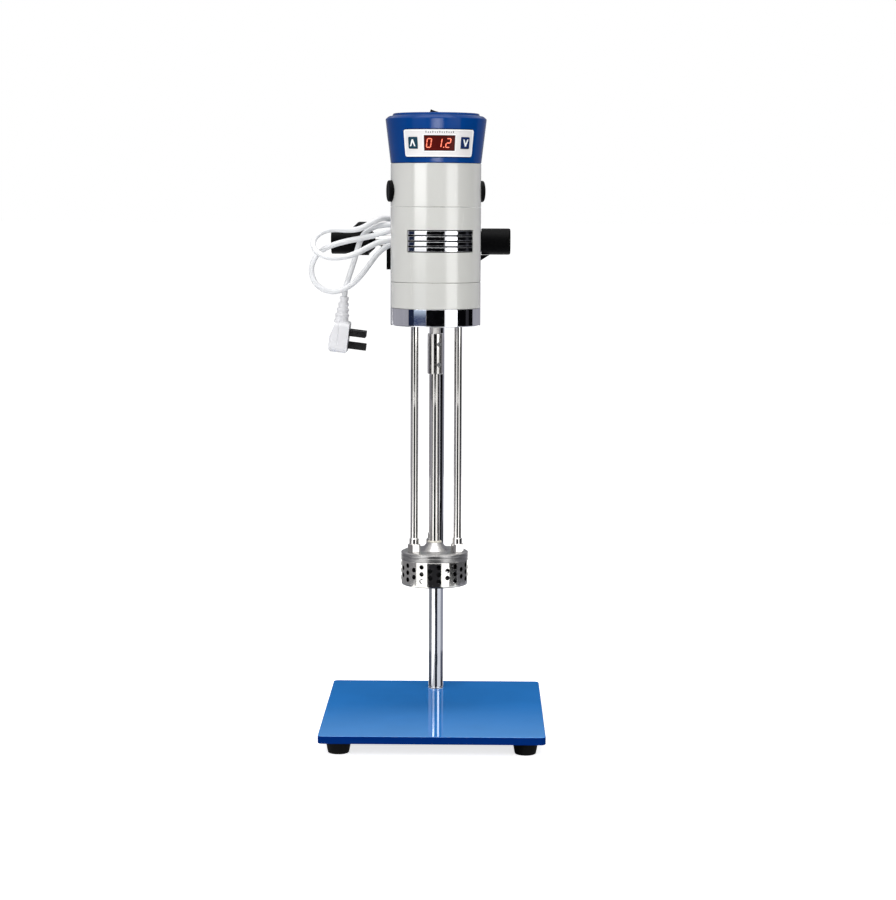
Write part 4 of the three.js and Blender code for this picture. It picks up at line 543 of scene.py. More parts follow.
def outwards_to(node):
    """The same matrix for the direction in which a node lies."""
    centre = centre_of(node)
    return outwards(math.atan2(centre.y, centre.x), centre.z)


# Materials

class Finish:
    """A node material under construction: a Principled shader and short ways to feed it."""

    def __init__(self, name, **sockets):
        self.material = bpy.data.materials.new(name)
        self.material.use_nodes = True
        self.tree = self.material.node_tree
        self.shader = self.tree.nodes["Principled BSDF"]
        for label, value in sockets.items():
            self.shader.inputs[label.replace("_", " ")].default_value = value
        self.coordinates = self.tree.nodes.new("ShaderNodeTexCoord").outputs["Object"]

    def node(self, kind, inputs=None, **settings):
        """Adds a node. Inputs are values or other nodes' outputs."""
        node = self.tree.nodes.new(kind)
        for label, value in settings.items():
            setattr(node, label, value)
        for label, value in (inputs or {}).items():
            if isinstance(value, bpy.types.NodeSocket):
                self.tree.links.new(value, node.inputs[label])
            else:
                node.inputs[label].default_value = value
        return node

    def noise(self, scale, detail, stretch=None):
        """Noise from 0 to 1 in object space, scaled differently along each axis if asked."""
        vector = self.coordinates
        if stretch:
            vector = self.node(
                "ShaderNodeMapping", {"Vector": vector, "Scale": stretch}).outputs["Vector"]
        return self.node("ShaderNodeTexNoise", {
            "Vector": vector, "Scale": scale, "Detail": detail}).outputs["Fac"]

    def spread(self, value, low, high, start=0.35, end=0.65):
        """Maps the part of a value between start and end onto low to high."""
        return self.node("ShaderNodeMapRange", {
            "Value": value, "From Min": start, "From Max": end, "To Min": low, "To Max": high,
        }).outputs["Result"]

    def blend(self, factor, first, second):
        """Mixes two colours, which are inputs 6 and 7 of the node."""
        return self.node(
            "ShaderNodeMix", {0: factor, 6: first, 7: second}, data_type="RGBA").outputs[2]

    def uneven(self, value, colour, darker, lighter):
        """A colour that drifts with a value from a darker to a lighter tone."""
        return self.blend(
            self.spread(value, 0, 1), shaded(colour, darker), shaded(colour, lighter))

    def cored(self, colour, limit, inner):
        """A colour that gives way to an inner one nearer to the Z axis than the limit."""
        flat = self.node("ShaderNodeVectorMath", {0: self.coordinates, 1: (1, 1, 0)},
                         operation="MULTIPLY").outputs["Vector"]
        radius = self.node("ShaderNodeVectorMath", {0: flat}, operation="LENGTH").outputs["Value"]
        outside = self.spread(radius, 0, 1, limit - 0.1 * MM, limit + 0.1 * MM)
        return self.blend(outside, inner, colour)

    def feed(self, label, output):
        """Links an output to an input of the shader."""
        self.tree.links.new(output, self.shader.inputs[label])

    def roughen(self, value, roughness, smoother, rougher):
        """Lets the roughness drift with a value."""
        self.feed("Roughness", self.spread(
            value, roughness * smoother, min(1, roughness * rougher)))

    def bump(self, height, strength, distance):
        """Gives the shader a fine relief."""
        self.feed("Normal", self.node("ShaderNodeBump", {
            "Height": height, "Strength": strength, "Distance": distance}).outputs["Normal"])


def shaded(colour, factor):
    """A colour made lighter or darker."""
    return tuple(min(1.0, channel * factor) for channel in colour[:3]) + (1.0,)


def seen_rays(tree):
    """1 for rays from the camera, from polished surfaces and through glass, else 0."""
    rays = tree.nodes.new("ShaderNodeLightPath")
    seen = rays.outputs["Is Camera Ray"]
    for label in ("Is Glossy Ray", "Is Transmission Ray"):
        either = tree.nodes.new("ShaderNodeMath")
        either.operation = "MAXIMUM"
        tree.links.new(seen, either.inputs[0])
        tree.links.new(rays.outputs[label], either.inputs[1])
        seen = either.outputs[0]
    return seen


def painted(name, colour, roughness, relief=0.12, grain=700, variation=0.05, **sockets):
    """Enamel or moulded plastic: uneven colour, a fine skin and handled patches."""
    finish = Finish(name, Roughness=roughness, **sockets)
    tone = finish.uneven(finish.noise(18, 2), colour, 1 - variation, 1 + variation)
    marks = finish.spread(finish.noise(260, 4, stretch=(1, 1, 0.12)), 0, 0.35, 0.66, 0.74)
    finish.feed("Base Color", finish.blend(marks, tone, shaded(colour, 1.25)))
    finish.roughen(finish.noise(9, 4), roughness, 0.85, 1.35)
    finish.bump(finish.noise(grain, 3), relief, PAINT_RELIEF)
    return finish.material


def metal(name, colour, roughness, streaks=(1, 1, 40), grain=60, relief=0.06, variation=0.06):
    """Bare or plated metal with fine drawn or turned lines."""
    finish = Finish(name, Metallic=1.0, Roughness=roughness)
    lines = finish.noise(grain, 4, stretch=streaks)
    finish.feed("Base Color", finish.uneven(
        finish.noise(14, 2), colour, 1 - variation, 1 + variation))
    finish.roughen(lines, roughness, 0.7, 1.4)
    finish.bump(lines, relief, METAL_RELIEF)
    return finish.material


def pierced_metal_painted_shade(name, colour, roughness, limit):
    """Polished metal with openings, with painted shade: nearer to the Z axis than the limit it is
    painted almost black, as the shade inside the openings.
    """
    finish = Finish(name, Metallic=1.0, Roughness=roughness)
    lines = finish.noise(160, 3, stretch=(1, 1, 20))
    skin = finish.uneven(finish.noise(60, 4), colour, 0.94, 1.05)
    # Painted shade: inside the limit the colour drops to almost black, for the shade in the holes
    # and between the slats
    finish.feed("Base Color", finish.cored(skin, limit, shaded(colour, 0.05)))
    finish.roughen(lines, roughness, 0.8, 1.3)
    finish.bump(lines, 0.02, METAL_RELIEF)
    return finish.material


def lacquered_painted_side_shade(name, colour, roughness, side, **sockets):
    """Enamel with a clear gloss on its top and painted shade on its upright faces, which take the
    darker side colour.
    """
    finish = Finish(name, Roughness=roughness, **sockets)
    facing = finish.node("ShaderNodeTexCoord").outputs["Normal"]
    height = finish.node("ShaderNodeSeparateXYZ", {0: facing}).outputs["Z"]
    upward = finish.spread(height, 0, 1, 0.3, 0.8)
    patches = finish.noise(18, 2)
    top = finish.uneven(patches, colour, 0.97, 1.03)
    # Painted shade: upright faces take the darker side colour in place of the shade that falls on
    # them
    finish.feed("Base Color", finish.blend(upward, rgb(*side), top))
    finish.feed("Coat Weight", upward)
    finish.roughen(patches, roughness, 0.85, 1.3)
    finish.bump(finish.noise(500, 3), 0.02, PAINT_RELIEF)
    return finish.material


def glowing(name, colour, strength):
    """A lit segment with a slightly uneven glow."""
    finish = Finish(name, Roughness=0.3)
    grain = finish.noise(900, 2)
    lit = finish.uneven(grain, colour, 0.85, 1.15)
    finish.feed("Base Color", lit)
    finish.feed("Emission Color", lit)
    finish.shader.inputs["Emission Strength"].default_value = strength
    finish.bump(grain, 0.05, METAL_RELIEF)
    return finish.material


def wound(name, colour, roughness, spindle):
    """Copper on a steel spindle: the colour changes at the spindle's radius."""
    finish = Finish(name, Metallic=1.0, Roughness=roughness)
    turns = finish.noise(300, 3)
    wire = finish.uneven(turns, colour, 0.85, 1.1)
    finish.feed("Base Color", finish.cored(wire, spindle, chosen_colour("steel")))
    finish.roughen(turns, roughness, 0.8, 1.2)
    finish.bump(turns, 0.05, METAL_RELIEF)
    return finish.material


FINISHES = {}


def chosen_colour(name):
    """A colour that the panel shows."""
    return (*getattr(bpy.context.scene.homogenizer.colours, name), 1.0)


def finish(name):
    """A finish by name, made once, in the colour that the panel shows."""
    if name not in FINISHES:
        maker, options = RECIPES[name]
        settings = dict(options)
        colour = chosen_colour(settings.pop("colour", name))
        FINISHES[name] = maker(name, colour, **settings)
    return FINISHES[name]


# Each finish: its maker and what sets it apart
RECIPES = {
    # The plate's side colour is painted shade on its upright faces
    "blue_enamel": (lacquered_painted_side_shade, dict(
        roughness=0.4, side=(3, 42, 112), Specular_IOR_Level=0.0, Coat_IOR=1.7,
        Coat_Roughness=0.04)),
    "blue_cap": (painted, dict(
        roughness=0.11, relief=0.02, variation=0.03, Specular_IOR_Level=0.1)),
    "cream_enamel": (painted, dict(
        roughness=0.16, relief=0.03, grain=600, variation=0.015, Coat_Weight=0.8,
        Coat_Roughness=0.1)),
    "white_panel": (painted, dict(roughness=0.35, relief=0.05, grain=900, variation=0.015)),
    # Whiter lip: painted highlight along the panel's edge
    "panel_edge": (painted, dict(roughness=0.3, relief=0.05, grain=900, variation=0.01)),
    # Painted shadow round the panel
    "gasket": (painted, dict(roughness=0.6, relief=0.1, Specular_IOR_Level=0.05)),
    "window": (painted, dict(
        roughness=0.2, relief=0.03, grain=900, variation=0.2, Specular_IOR_Level=0.12)),
    "segment": (glowing, dict(strength=1.0)),
    "tick": (painted, dict(roughness=0.4, relief=0.05, grain=900)),
    "key_teal": (painted, dict(roughness=0.4, relief=0.06, Specular_IOR_Level=0.2)),
    "key_blue": (painted, dict(roughness=0.4, relief=0.06, Specular_IOR_Level=0.2)),
    "glyph": (painted, dict(roughness=0.4, relief=0.05, grain=900, variation=0.02)),
    "chrome": (metal, dict(
        roughness=0.045, streaks=(1, 1, 6), grain=300, relief=0.01, variation=0.02)),
    # The grille's inner faces are painted almost black as shade behind its slats
    "grille_chrome": (pierced_metal_painted_shade, dict(colour="chrome", roughness=0.05, limit=45.75 * MM)),
    "post_chrome": (metal, dict(
        colour="post", roughness=0.06, streaks=(1, 1, 6), grain=300, relief=0.01, variation=0.02)),
    "steel": (metal, dict(
        roughness=0.07, streaks=(1, 1, 20), grain=200, relief=0.01, variation=0.03)),
    "cover_steel": (metal, dict(roughness=0.3, streaks=(1, 1, 3), grain=900, relief=0.12)),
    # The stator's inner wall is painted almost black as shade inside the cup
    "stator_steel": (pierced_metal_painted_shade, dict(colour="turned_steel", roughness=0.09, limit=34.75 * MM)),
    # The field's own dark iron, and painted shade on the rotor and its nut
    "rotor_steel": (metal, dict(roughness=0.3, grain=160, relief=0.02)),
    "dark_steel": (metal, dict(roughness=0.34)),
    "copper": (metal, dict(roughness=0.3)),
    "windings": (wound, dict(colour="copper", roughness=0.3, spindle=6.5 * MM)),
    "black_plastic": (painted, dict(
        roughness=0.42, relief=0.15, grain=900, variation=0.1, Specular_IOR_Level=0.06)),
    "black_cast": (painted, dict(
        roughness=0.5, relief=0.3, grain=420, variation=0.12, Specular_IOR_Level=0.06)),
    "gloss_black": (painted, dict(
        roughness=0.2, relief=0.05, variation=0.1, Specular_IOR_Level=0.1)),
    "rubber": (painted, dict(
        roughness=0.75, relief=0.4, grain=520, variation=0.15, Specular_IOR_Level=0.1)),
    "nylon": (painted, dict(roughness=0.45, relief=0.1, variation=0.03)),
    "white_sheath": (painted, dict(roughness=0.42, relief=0.12, grain=1200, variation=0.02)),
    "white_plug": (painted, dict(roughness=0.3, relief=0.08, grain=900, variation=0.02)),
    # Painted shade on the plug's pins
    "pin_black": (painted, dict(roughness=0.3, relief=0.1, variation=0.15)),
    "board": (painted, dict(roughness=0.5, relief=0.3, grain=500, variation=0.1)),
    "carbon": (painted, dict(roughness=0.7, relief=0.3, grain=800, variation=0.1)),
}


# Builders of single forms

def centripetal_handles(points):
    """Bezier handles that follow the part's own spline through the points."""
    points = [Vector(point) for point in points]
    padded = [points[0] * 2 - points[1], *points, points[-1] * 2 - points[-2]]
    starts, ends = [], []
    for before, first, second, after in zip(padded, padded[1:], padded[2:], padded[3:]):
        d0 = (first - before).length ** 0.5
        d1 = (second - first).length ** 0.5
        d2 = (after - second).length ** 0.5
        chord = (second - first) / d1
        leave = ((first - before) / d0 - (second - before) / (d0 + d1) + chord) * d1
        reach = (chord - (after - first) / (d1 + d2) + (after - second) / d2) * d1
        starts.append(first + leave / 3)
        ends.append(second - reach / 3)
    return starts, ends


def spline_length(points, starts, ends):
    """Length of the Bezier curve through the points."""
    steps = 24
    total = 0.0
    last = Vector(points[0])
    for i, (start, end) in enumerate(zip(starts, ends)):
        first, second = Vector(points[i]), Vector(points[i + 1])
        for step in range(1, steps + 1):
            t = step / steps
            here = (first * (1 - t) ** 3 + start * 3 * t * (1 - t) ** 2
                    + end * 3 * t ** 2 * (1 - t) + second * t ** 3)
            total += (here - last).length
            last = here
    return total


def ribbed(tip, root, start, end, ribs, groove):
    """Outline of a tapered relief with grooves, from its tip at start to its root at end."""
    points = [(0, start), (tip, start)]
    pitch = (end - start) / (2 * ribs + 1)
    for i in range(2 * ribs):
        radius = tip + (root - tip) * i / (2 * ribs) - (groove if i % 2 else 0)
        points += [(radius, start + pitch * (i + 0.5)), (radius, start + pitch * (i + 1))]
    return points


def hexagon_outline(flats):
    """Six corners about the origin."""
    radius = flats / math.sqrt(3)
    return [
        (radius * math.cos(math.radians(60 * i)), radius * math.sin(math.radians(60 * i)))
        for i in range(6)]


def segment_bars(value, width, height, stroke):
    """Outlines of the lit bars of one seven-segment digit, its lower left corner at the origin."""
    half = height / 2
    gap = stroke * 0.16
    inset = stroke / 2

    def flat(y):
        return [
            (inset + gap, y), (stroke + gap, y + inset), (width - stroke - gap, y + inset),
            (width - inset - gap, y), (width - stroke - gap, y - inset), (stroke + gap, y - inset)]

    def upright(x, low, high):
        return [
            (x, low + gap + inset), (x + inset, low + gap + stroke),
            (x + inset, high - gap - stroke), (x, high - gap - inset),
            (x - inset, high - gap - stroke), (x - inset, low + gap + stroke)]

    left, right = inset, width - inset
    bars = {
        "a": flat(height - inset), "d": flat(inset), "g": flat(half),
        "f": upright(left, half - inset, height), "b": upright(right, half - inset, height),
        "e": upright(left, 0, half + inset), "c": upright(right, 0, half + inset),
    }
    lit = {"0": "abcdef", "1": "bc", "2": "abged"}[value]
    return [bars[letter] for letter in lit]


# Operators

class SizedOperator:
    """What the operators share: the sizes that the panel shows."""

    bl_options = {"REGISTER", "UNDO"}

    @staticmethod
    def sizes(context):
        """The groups of sizes and colours."""
        return context.scene.homogenizer


class HOMOGENIZER_OT_stage(SizedOperator, bpy.types.Operator):
    """Sets the camera, the pale floor, the world and the studio lights"""

    bl_idname = "homogenizer.stage"
    bl_label = "Camera and Stage"

    def execute(self, context):
        stage = self.sizes(context).stage
        self.camera(context, stage)
        self.world(context, stage)
        self.floor()
        self.lamp("left_light", (-1.047, -1.34, 1.0), (0, 0, 0.45), (1.0, 1.0), stage.left)
        self.lamp("right_light", (1.181, -1.223, 0.84), (0, 0, 0.45), (0.91, 1.12), stage.right)
        self.lamp("top_light", (0, -0.3, 2.0), (0, 0, 0.3), (1.4, 1.4), stage.top)
        cap = bpy.data.collections.new("cap")
        cap.objects.link(bpy.data.objects["cap"])
        aim = (0, 0, 0.61)
        self.lamp("cap_front", (0.12, -1.95, 0.17), aim, (1.0, 0.45), stage.sheen, cap)
        self.lamp("cap_middle", (0.12, -1.9, 0.18), aim, (0.5, 0.45), stage.sheen / 2, cap)
        self.cards()
        context.scene.view_settings.view_transform = "Standard"
        return {"FINISHED"}

    @staticmethod
    def camera(context, stage):
        """The camera at the photograph's place, in front of the object and a little above."""
        data = bpy.data.cameras.new("camera")
        data.lens = stage.lens
        data.clip_end = 200
        camera = bpy.data.objects.new("camera", data)
        context.scene.collection.objects.link(camera)
        camera.matrix_world = (
            Matrix.Translation((0.0422, -2.3281, 0.5492))
            @ Matrix.Rotation(stage.yaw, 4, "Z")
            @ Matrix.Rotation(math.pi / 2 - stage.pitch, 4, "X")
            @ Matrix.Rotation(stage.roll, 4, "Z"))
        context.scene.camera = camera

    @staticmethod
    def world(context, stage):
        """White for the camera and for polished surfaces, and weaker as a light."""
        world = bpy.data.worlds.new("studio")
        world.use_nodes = True
        tree = world.node_tree
        background = tree.nodes["Background"]
        background.inputs["Color"].default_value = (1, 1, 1, 1)
        strength = tree.nodes.new("ShaderNodeMapRange")
        strength.inputs["To Min"].default_value = stage.world
        strength.inputs["To Max"].default_value = 1.0
        tree.links.new(seen_rays(tree), strength.inputs["Value"])
        tree.links.new(strength.outputs["Result"], background.inputs["Strength"])
        context.scene.world = world

    @staticmethod
    def prop(name, bm, material):
        """Turns bm into an object for the stage."""
        bmesh.ops.recalc_face_normals(bm, faces=bm.faces)
        mesh = bpy.data.meshes.new(name)
        bm.to_mesh(mesh)
        bm.free()
        mesh.materials.append(material)
        prop = bpy.data.objects.new(name, mesh)
        bpy.context.scene.collection.objects.link(prop)
        return prop

    def floor(self):
        """A pale floor that looks white where nothing shades it."""
        surface = Finish("floor", Roughness=0.9, Specular_IOR_Level=0.0)
        surface.feed("Base Color", surface.blend(
            surface.spread(surface.noise(3, 2), 0, 1), (0.78, 0.78, 0.78, 1), (0.8, 0.8, 0.8, 1)))
        surface.shader.inputs["Emission Color"].default_value = (1, 1, 1, 1)
        surface.feed("Emission Strength", surface.spread(seen_rays(surface.tree), 0, 0.75, 0, 1))
        reach, depth = 60, 0.02
        slab = prism(rectangle(-reach, reach, -reach, reach), -depth, 0)
        floor = self.prop("floor", slab, surface.material)

    @staticmethod
    def lamp(name, place, target, size, power, only=None):
        """A rectangular softbox that points at a target, for all objects or for one collection."""
        data = bpy.data.lights.new(name, "AREA")
        data.shape = "RECTANGLE"
        data.size, data.size_y = size
        data.energy = power
        lamp = bpy.data.objects.new(name, data)
        bpy.context.scene.collection.objects.link(lamp)
        lamp.location = place
        aim = Vector(target) - Vector(place)
        lamp.rotation_euler = aim.to_track_quat("-Z", "Y").to_euler()
        lamp.visible_camera = False
        if only:
            lamp.light_linking.receiver_collection = only

    def cards(self):
        """Sheets round the object that only its polished surfaces see."""
        black, slate, navy = (6, 6, 8), (48, 48, 52), (30, 38, 60)
        lilac, dusk, night = (160, 159, 167), (58, 70, 104), (14, 20, 36)
        thickness, tall = 0.004, (0, 1.6)
        sheets = {
            "front": ((-22.4, 24.3), 2.2, (0.17, 1.6), black),
            "low_front": ((-22, 24), 0.5, (0, 0.3), (40, 40, 43)),
            "right": ((57.5, 84), 1.5, tall, black),
            "far_right": ((84, 94), 1.5, tall, slate),
            "end_right": ((94, 110), 1.5, tall, black),
            "back_right": ((110, 150), 1.5, tall, lilac),
            "left": ((-70.8, -54.6), 1.5, tall, navy),
            "back_left": ((-147, -70.8), 1.5, tall, lilac),
            "cap_side": ((-100, -58), 1.45, (0.22, 0.335), black),
            "cap_far": ((57, 92), 1.45, (0.22, 0.335), black),
            "back_low": ((150, 213), 2.2, (0, 0.28), night),
            "back_high": ((150, 213), 2.2, (0.28, 1.6), lilac),
            "back_sky": ((168, 194), 2.15, (0.42, 0.66), (2, 5, 12)),
            "ring_left": ((-54.6, -22.4), 1.0, (0.366, 0.43), dusk),
        }
        ramps = {
            "back_sky": ((0.5, 0.585), (140, 160, 150)),
            "ring_left": ((0.388, 0.4), (190, 205, 225)),
        }
        for name, (angles, radius, levels, colour) in sheets.items():
            radii = (radius, radius + thickness)
            self.card(name, angles, radii, levels, colour, *ramps.get(name, ()))
        near, middle, far = (0.012, 0.3), (0.3, 0.86), (0.87, 1.6)
        floor_sheets = {
            "front": ((-15, 22), near, (46, 52, 62)),
            "front_middle": ((-15, 22), middle, (52, 56, 68)),
            "right": ((78, 150), near, (86, 88, 102)),
            "right_middle": ((78, 150), middle, (160, 162, 172)),
            "left": ((-150, -69), near, (92, 96, 108)),
            "left_middle": ((-150, -69), middle, (136, 139, 144)),
            "pale": ((22, 78), (0.012, 0.86), (236, 238, 243)),
            "far_front": ((-25, 26), far, (44, 44, 46)),
            "far_right": ((52, 84), far, (34, 34, 37)),
            "far_side": ((84, 150), far, (88, 88, 92)),
            "far_left": ((-150, -62), far, (132, 131, 134)),
        }
        for name, (angles, radii, colour) in floor_sheets.items():
            centre = Vector() if radii == far else centre_of("post")
            self.card(f"floor_{name}", angles, radii, (0.001, 0.003), colour, centre=centre)

    def card(self, name, angles, radii, levels, colour, ramp=None, above=None, centre=Vector()):
        """A curved sheet between two angles from the front, two radii and two heights."""
        steps = 24
        start, step = math.radians(angles[0]), math.radians(angles[1] - angles[0]) / steps
        turns = [start + step * i for i in range(steps + 1)]
        outline = [turned(turn, radii[1], 0)[:2] for turn in turns]
        outline += [turned(turn, radii[0], 0)[:2] for turn in reversed(turns)]
        card = self.prop(
            f"card_{name}", prism(outline, *levels, standing_at(centre)),
            self.cloth(name, rgb(*colour), ramp, above))
        card.visible_camera = False
        card.visible_diffuse = False
        card.visible_shadow = False
        card.visible_volume_scatter = False

    @staticmethod
    def cloth(name, colour, ramp, above):
        """A sheet that glows evenly, with a faint weave and, if asked, a ramp along Z."""
        surface = Finish(f"cloth_{name}", Roughness=1.0, Specular_IOR_Level=0.0)
        surface.shader.inputs["Base Color"].default_value = (0, 0, 0, 1)
        look = surface.uneven(surface.noise(4, 2), colour, 0.95, 1.05)
        if ramp:
            height = surface.node("ShaderNodeSeparateXYZ", {0: surface.coordinates}).outputs["Z"]
            look = surface.blend(surface.spread(height, 0, 1, *ramp), look, rgb(*above))
        surface.feed("Emission Color", look)
        surface.shader.inputs["Emission Strength"].default_value = 1.0
        return surface.material


class HOMOGENIZER_OT_lead(SizedOperator, bpy.types.Operator):
    """Makes the mains lead with its gland and plug"""

    bl_idname = "homogenizer.lead"
    bl_label = "Mains Lead"

    def execute(self, context):
        sizes = self.sizes(context).lead
        plug = self.plug(sizes)
        pins = self.pins(sizes)
        self.gland()
        lead, total = self.lead(sizes)
        return {"FINISHED"}

    @staticmethod
    def lead(sizes):
        """The lead as one round cable along its middle line, and its length."""
        starts, ends = centripetal_handles(LEAD_POINTS)
        data = bpy.data.curves.new("lead", "CURVE")
        data.dimensions = "3D"
        data.bevel_depth = sizes.lead / 2 - 0.01 * MM
        data.bevel_resolution = 8
        data.resolution_u = 10
        data.use_fill_caps = True
        spline = data.splines.new("BEZIER")
        spline.bezier_points.add(len(LEAD_POINTS) - 1)
        for i, point in enumerate(spline.bezier_points):
            place = Vector(LEAD_POINTS[i])
            point.handle_left_type = "FREE"
            point.handle_right_type = "FREE"
            point.co = place
            point.handle_right = starts[i] if i < len(starts) else place * 2 - ends[i - 1]
            point.handle_left = ends[i - 1] if i else place * 2 - starts[0]
        data.materials.append(finish("white_sheath"))
        lead = bpy.data.objects.new("lead", data)
        bpy.context.scene.collection.objects.link(lead)
        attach(lead, "head")
        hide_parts("mains_lead")
        return lead, spline_length(LEAD_POINTS, starts, ends)

    @staticmethod
    def plug_matrix(sizes):
        """Matrix that hangs the plug from the lead's end, its relief at the origin."""
        end = Vector(LEAD_POINTS[-1])
        down = Vector((-math.sin(sizes.tilt), 0, -math.cos(sizes.tilt)))
        return Matrix.Translation(end + down * 0.3 * MM) @ Matrix.Rotation(sizes.tilt, 4, "Y")

    def plug(self, sizes):
        """The body with its seam and its ribbed relief."""
        top, bottom = -sizes.relief, -sizes.relief - sizes.body
        middle = (top + bottom) / 2
        back, front = -10 * MM, 9.9 * MM
        upright = Matrix.Translation((0, 0, middle)) @ ALONG_X

        def block(growth, corner, low, high):
            face = rounded_rectangle(sizes.body + growth, sizes.width + growth, corner)
            return prism(face, low, high, upright)

        profile = [
            (-5 * MM, top), (8.4 * MM, top), (front, top - 1.5 * MM), (front, bottom + 1.5 * MM),
            (8.4 * MM, bottom), (-7 * MM, bottom), (back, bottom + 3 * MM), (back, middle)]
        side = prism(profile, -sizes.width, sizes.width, Matrix.Rotation(math.pi / 2, 4, "X"))
        shell = combine(block(0, 6 * MM, back, front), side, "INTERSECT")
        seam = block(4 * MM, 7 * MM, -1.4 * MM, -0.7 * MM)
        core = block(-1.2 * MM, 5 * MM, -3 * MM, 1 * MM)
        shell = combine(shell, combine(seam, core, "DIFFERENCE"), "DIFFERENCE")
        bevel_edges(shell, 0.7 * MM, 2, 40)
        root = 8.5 * MM
        relief = ribbed(4.9 * MM, root, 0, top, 4, 1.1 * MM)
        relief += [(root, top - 2 * MM), (0, top - 2 * MM)]
        add_lathe(shell, soften(relief, 0.35 * MM, 2), 48)
        return make_piece(
            "plug", moved(shell, self.plug_matrix(sizes)), "white_plug", "head",
            ["plug_body"])

    def pins(self, sizes):
        """Three flat pins that stick out of the plug sideways."""
        pins = []
        live = -sizes.relief - 11 * MM
        earth = -sizes.relief - 24.5 * MM
        root, half_thickness = 6.9 * MM, 2 * MM
        places = {
            "plug_pin_front": (-10 * MM, live, 28 * MM, 3.5 * MM),
            "plug_pin_back": (10 * MM, live, 28 * MM, 3.5 * MM),
            "plug_pin_earth": (0, earth, 29.7 * MM, 4 * MM),
        }
        for node, (y, z, tip, half) in places.items():
            bm = bmesh.new()
            add_box(bm, (root, y - half_thickness, z - half), (tip, y + half_thickness, z + half))
            bevel_edges(bm, 0.6 * MM, 2)
            # The pins' dark finish is painted shade
            pins.append(make_piece(
                f"{node}_finished", moved(bm, self.plug_matrix(sizes)), "pin_black",
                "head", [node]))
        return pins

    @staticmethod
    def gland():
        """The ribbed sleeve round the lead where it leaves the shell."""
        tip = Vector(LEAD_POINTS[0])
        away = (Vector(LEAD_POINTS[1]) - tip).normalized()
        tip -= away * GAP
        root, flange = 6.2 * MM, 8 * MM
        relief_end, flange_end, end = -28 * MM, -32 * MM, -35 * MM
        outline = ribbed(4.3 * MM, root, 0, relief_end, 5, 0.9 * MM)
        outline += [
            (root, relief_end), (flange, relief_end), (flange, flange_end), (root, flange_end),
            (root, end), (0, end)]
        matrix = Matrix.Translation(tip) @ away.to_track_quat("Z", "Y").to_matrix().to_4x4()
        make_piece(
            "gland", lathe(soften(outline, 0.4 * MM, 2), 48, matrix), "rubber", "head",
            ["cord_gland"])


class HOMOGENIZER_OT_stand(SizedOperator, bpy.types.Operator):
    """Makes the blue base plate, its feet and the chromed post"""

    bl_idname = "homogenizer.stand"
    bl_label = "Stand"

    def execute(self, context):
        sizes = self.sizes(context).stand
        low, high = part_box("base_plate")
        outline = rounded_rectangle(high.x - low.x, high.y - low.y, sizes.plate_corner, 10)
        plate = prism(outline, low.z, high.z, standing_at(centre_of("base_plate")))
        bevel_edges(plate, sizes.plate_edge, 3)
        piece = make_piece(
            "plate", plate, "blue_enamel", "stand", ["base_plate"])
        piece.visible_glossy = False
        for node in FEET:
            self.foot(node, sizes)
        self.post(sizes)
        dress("post_bolt", "steel")
        return {"FINISHED"}

    @staticmethod
    def foot(node, sizes):
        """A tapered foot with a recess for its screw."""
        top = span("base_plate")[0] - GAP
        recess = 3 * MM
        outline = [
            (0, recess), (sizes.foot_recess, recess), (sizes.foot_recess, 0), (sizes.foot_base, 0),
            (radius_of(node), top), (0, top)]
        matrix = standing_at(centre_of(node))
        make_piece(
            f"{node}_finished", lathe(soften(outline, sizes.foot_round, 5), 72, matrix),
            "rubber", "stand", [node])

    @staticmethod
    def post(sizes):
        """The post with a groove over the plate and a chamfered top."""
        radius, top = radius_of("post"), span("post")[1]
        seat = span("base_plate")[1] + GAP
        groove = radius - 0.5 * MM
        outline = [
            (0, seat), (radius, seat), (radius, seat + 1.1 * MM), (groove, seat + 1.4 * MM),
            (groove, seat + 2 * MM), (radius, seat + 2.3 * MM),
            (radius, top - sizes.post_chamfer), (radius - sizes.post_chamfer, top), (0, top)]
        matrix = standing_at(centre_of("post"))
        make_piece(
            "post_finished", lathe(soften(outline, 0.15 * MM, 2), 96, matrix),
            "post_chrome", "stand", ["post"])


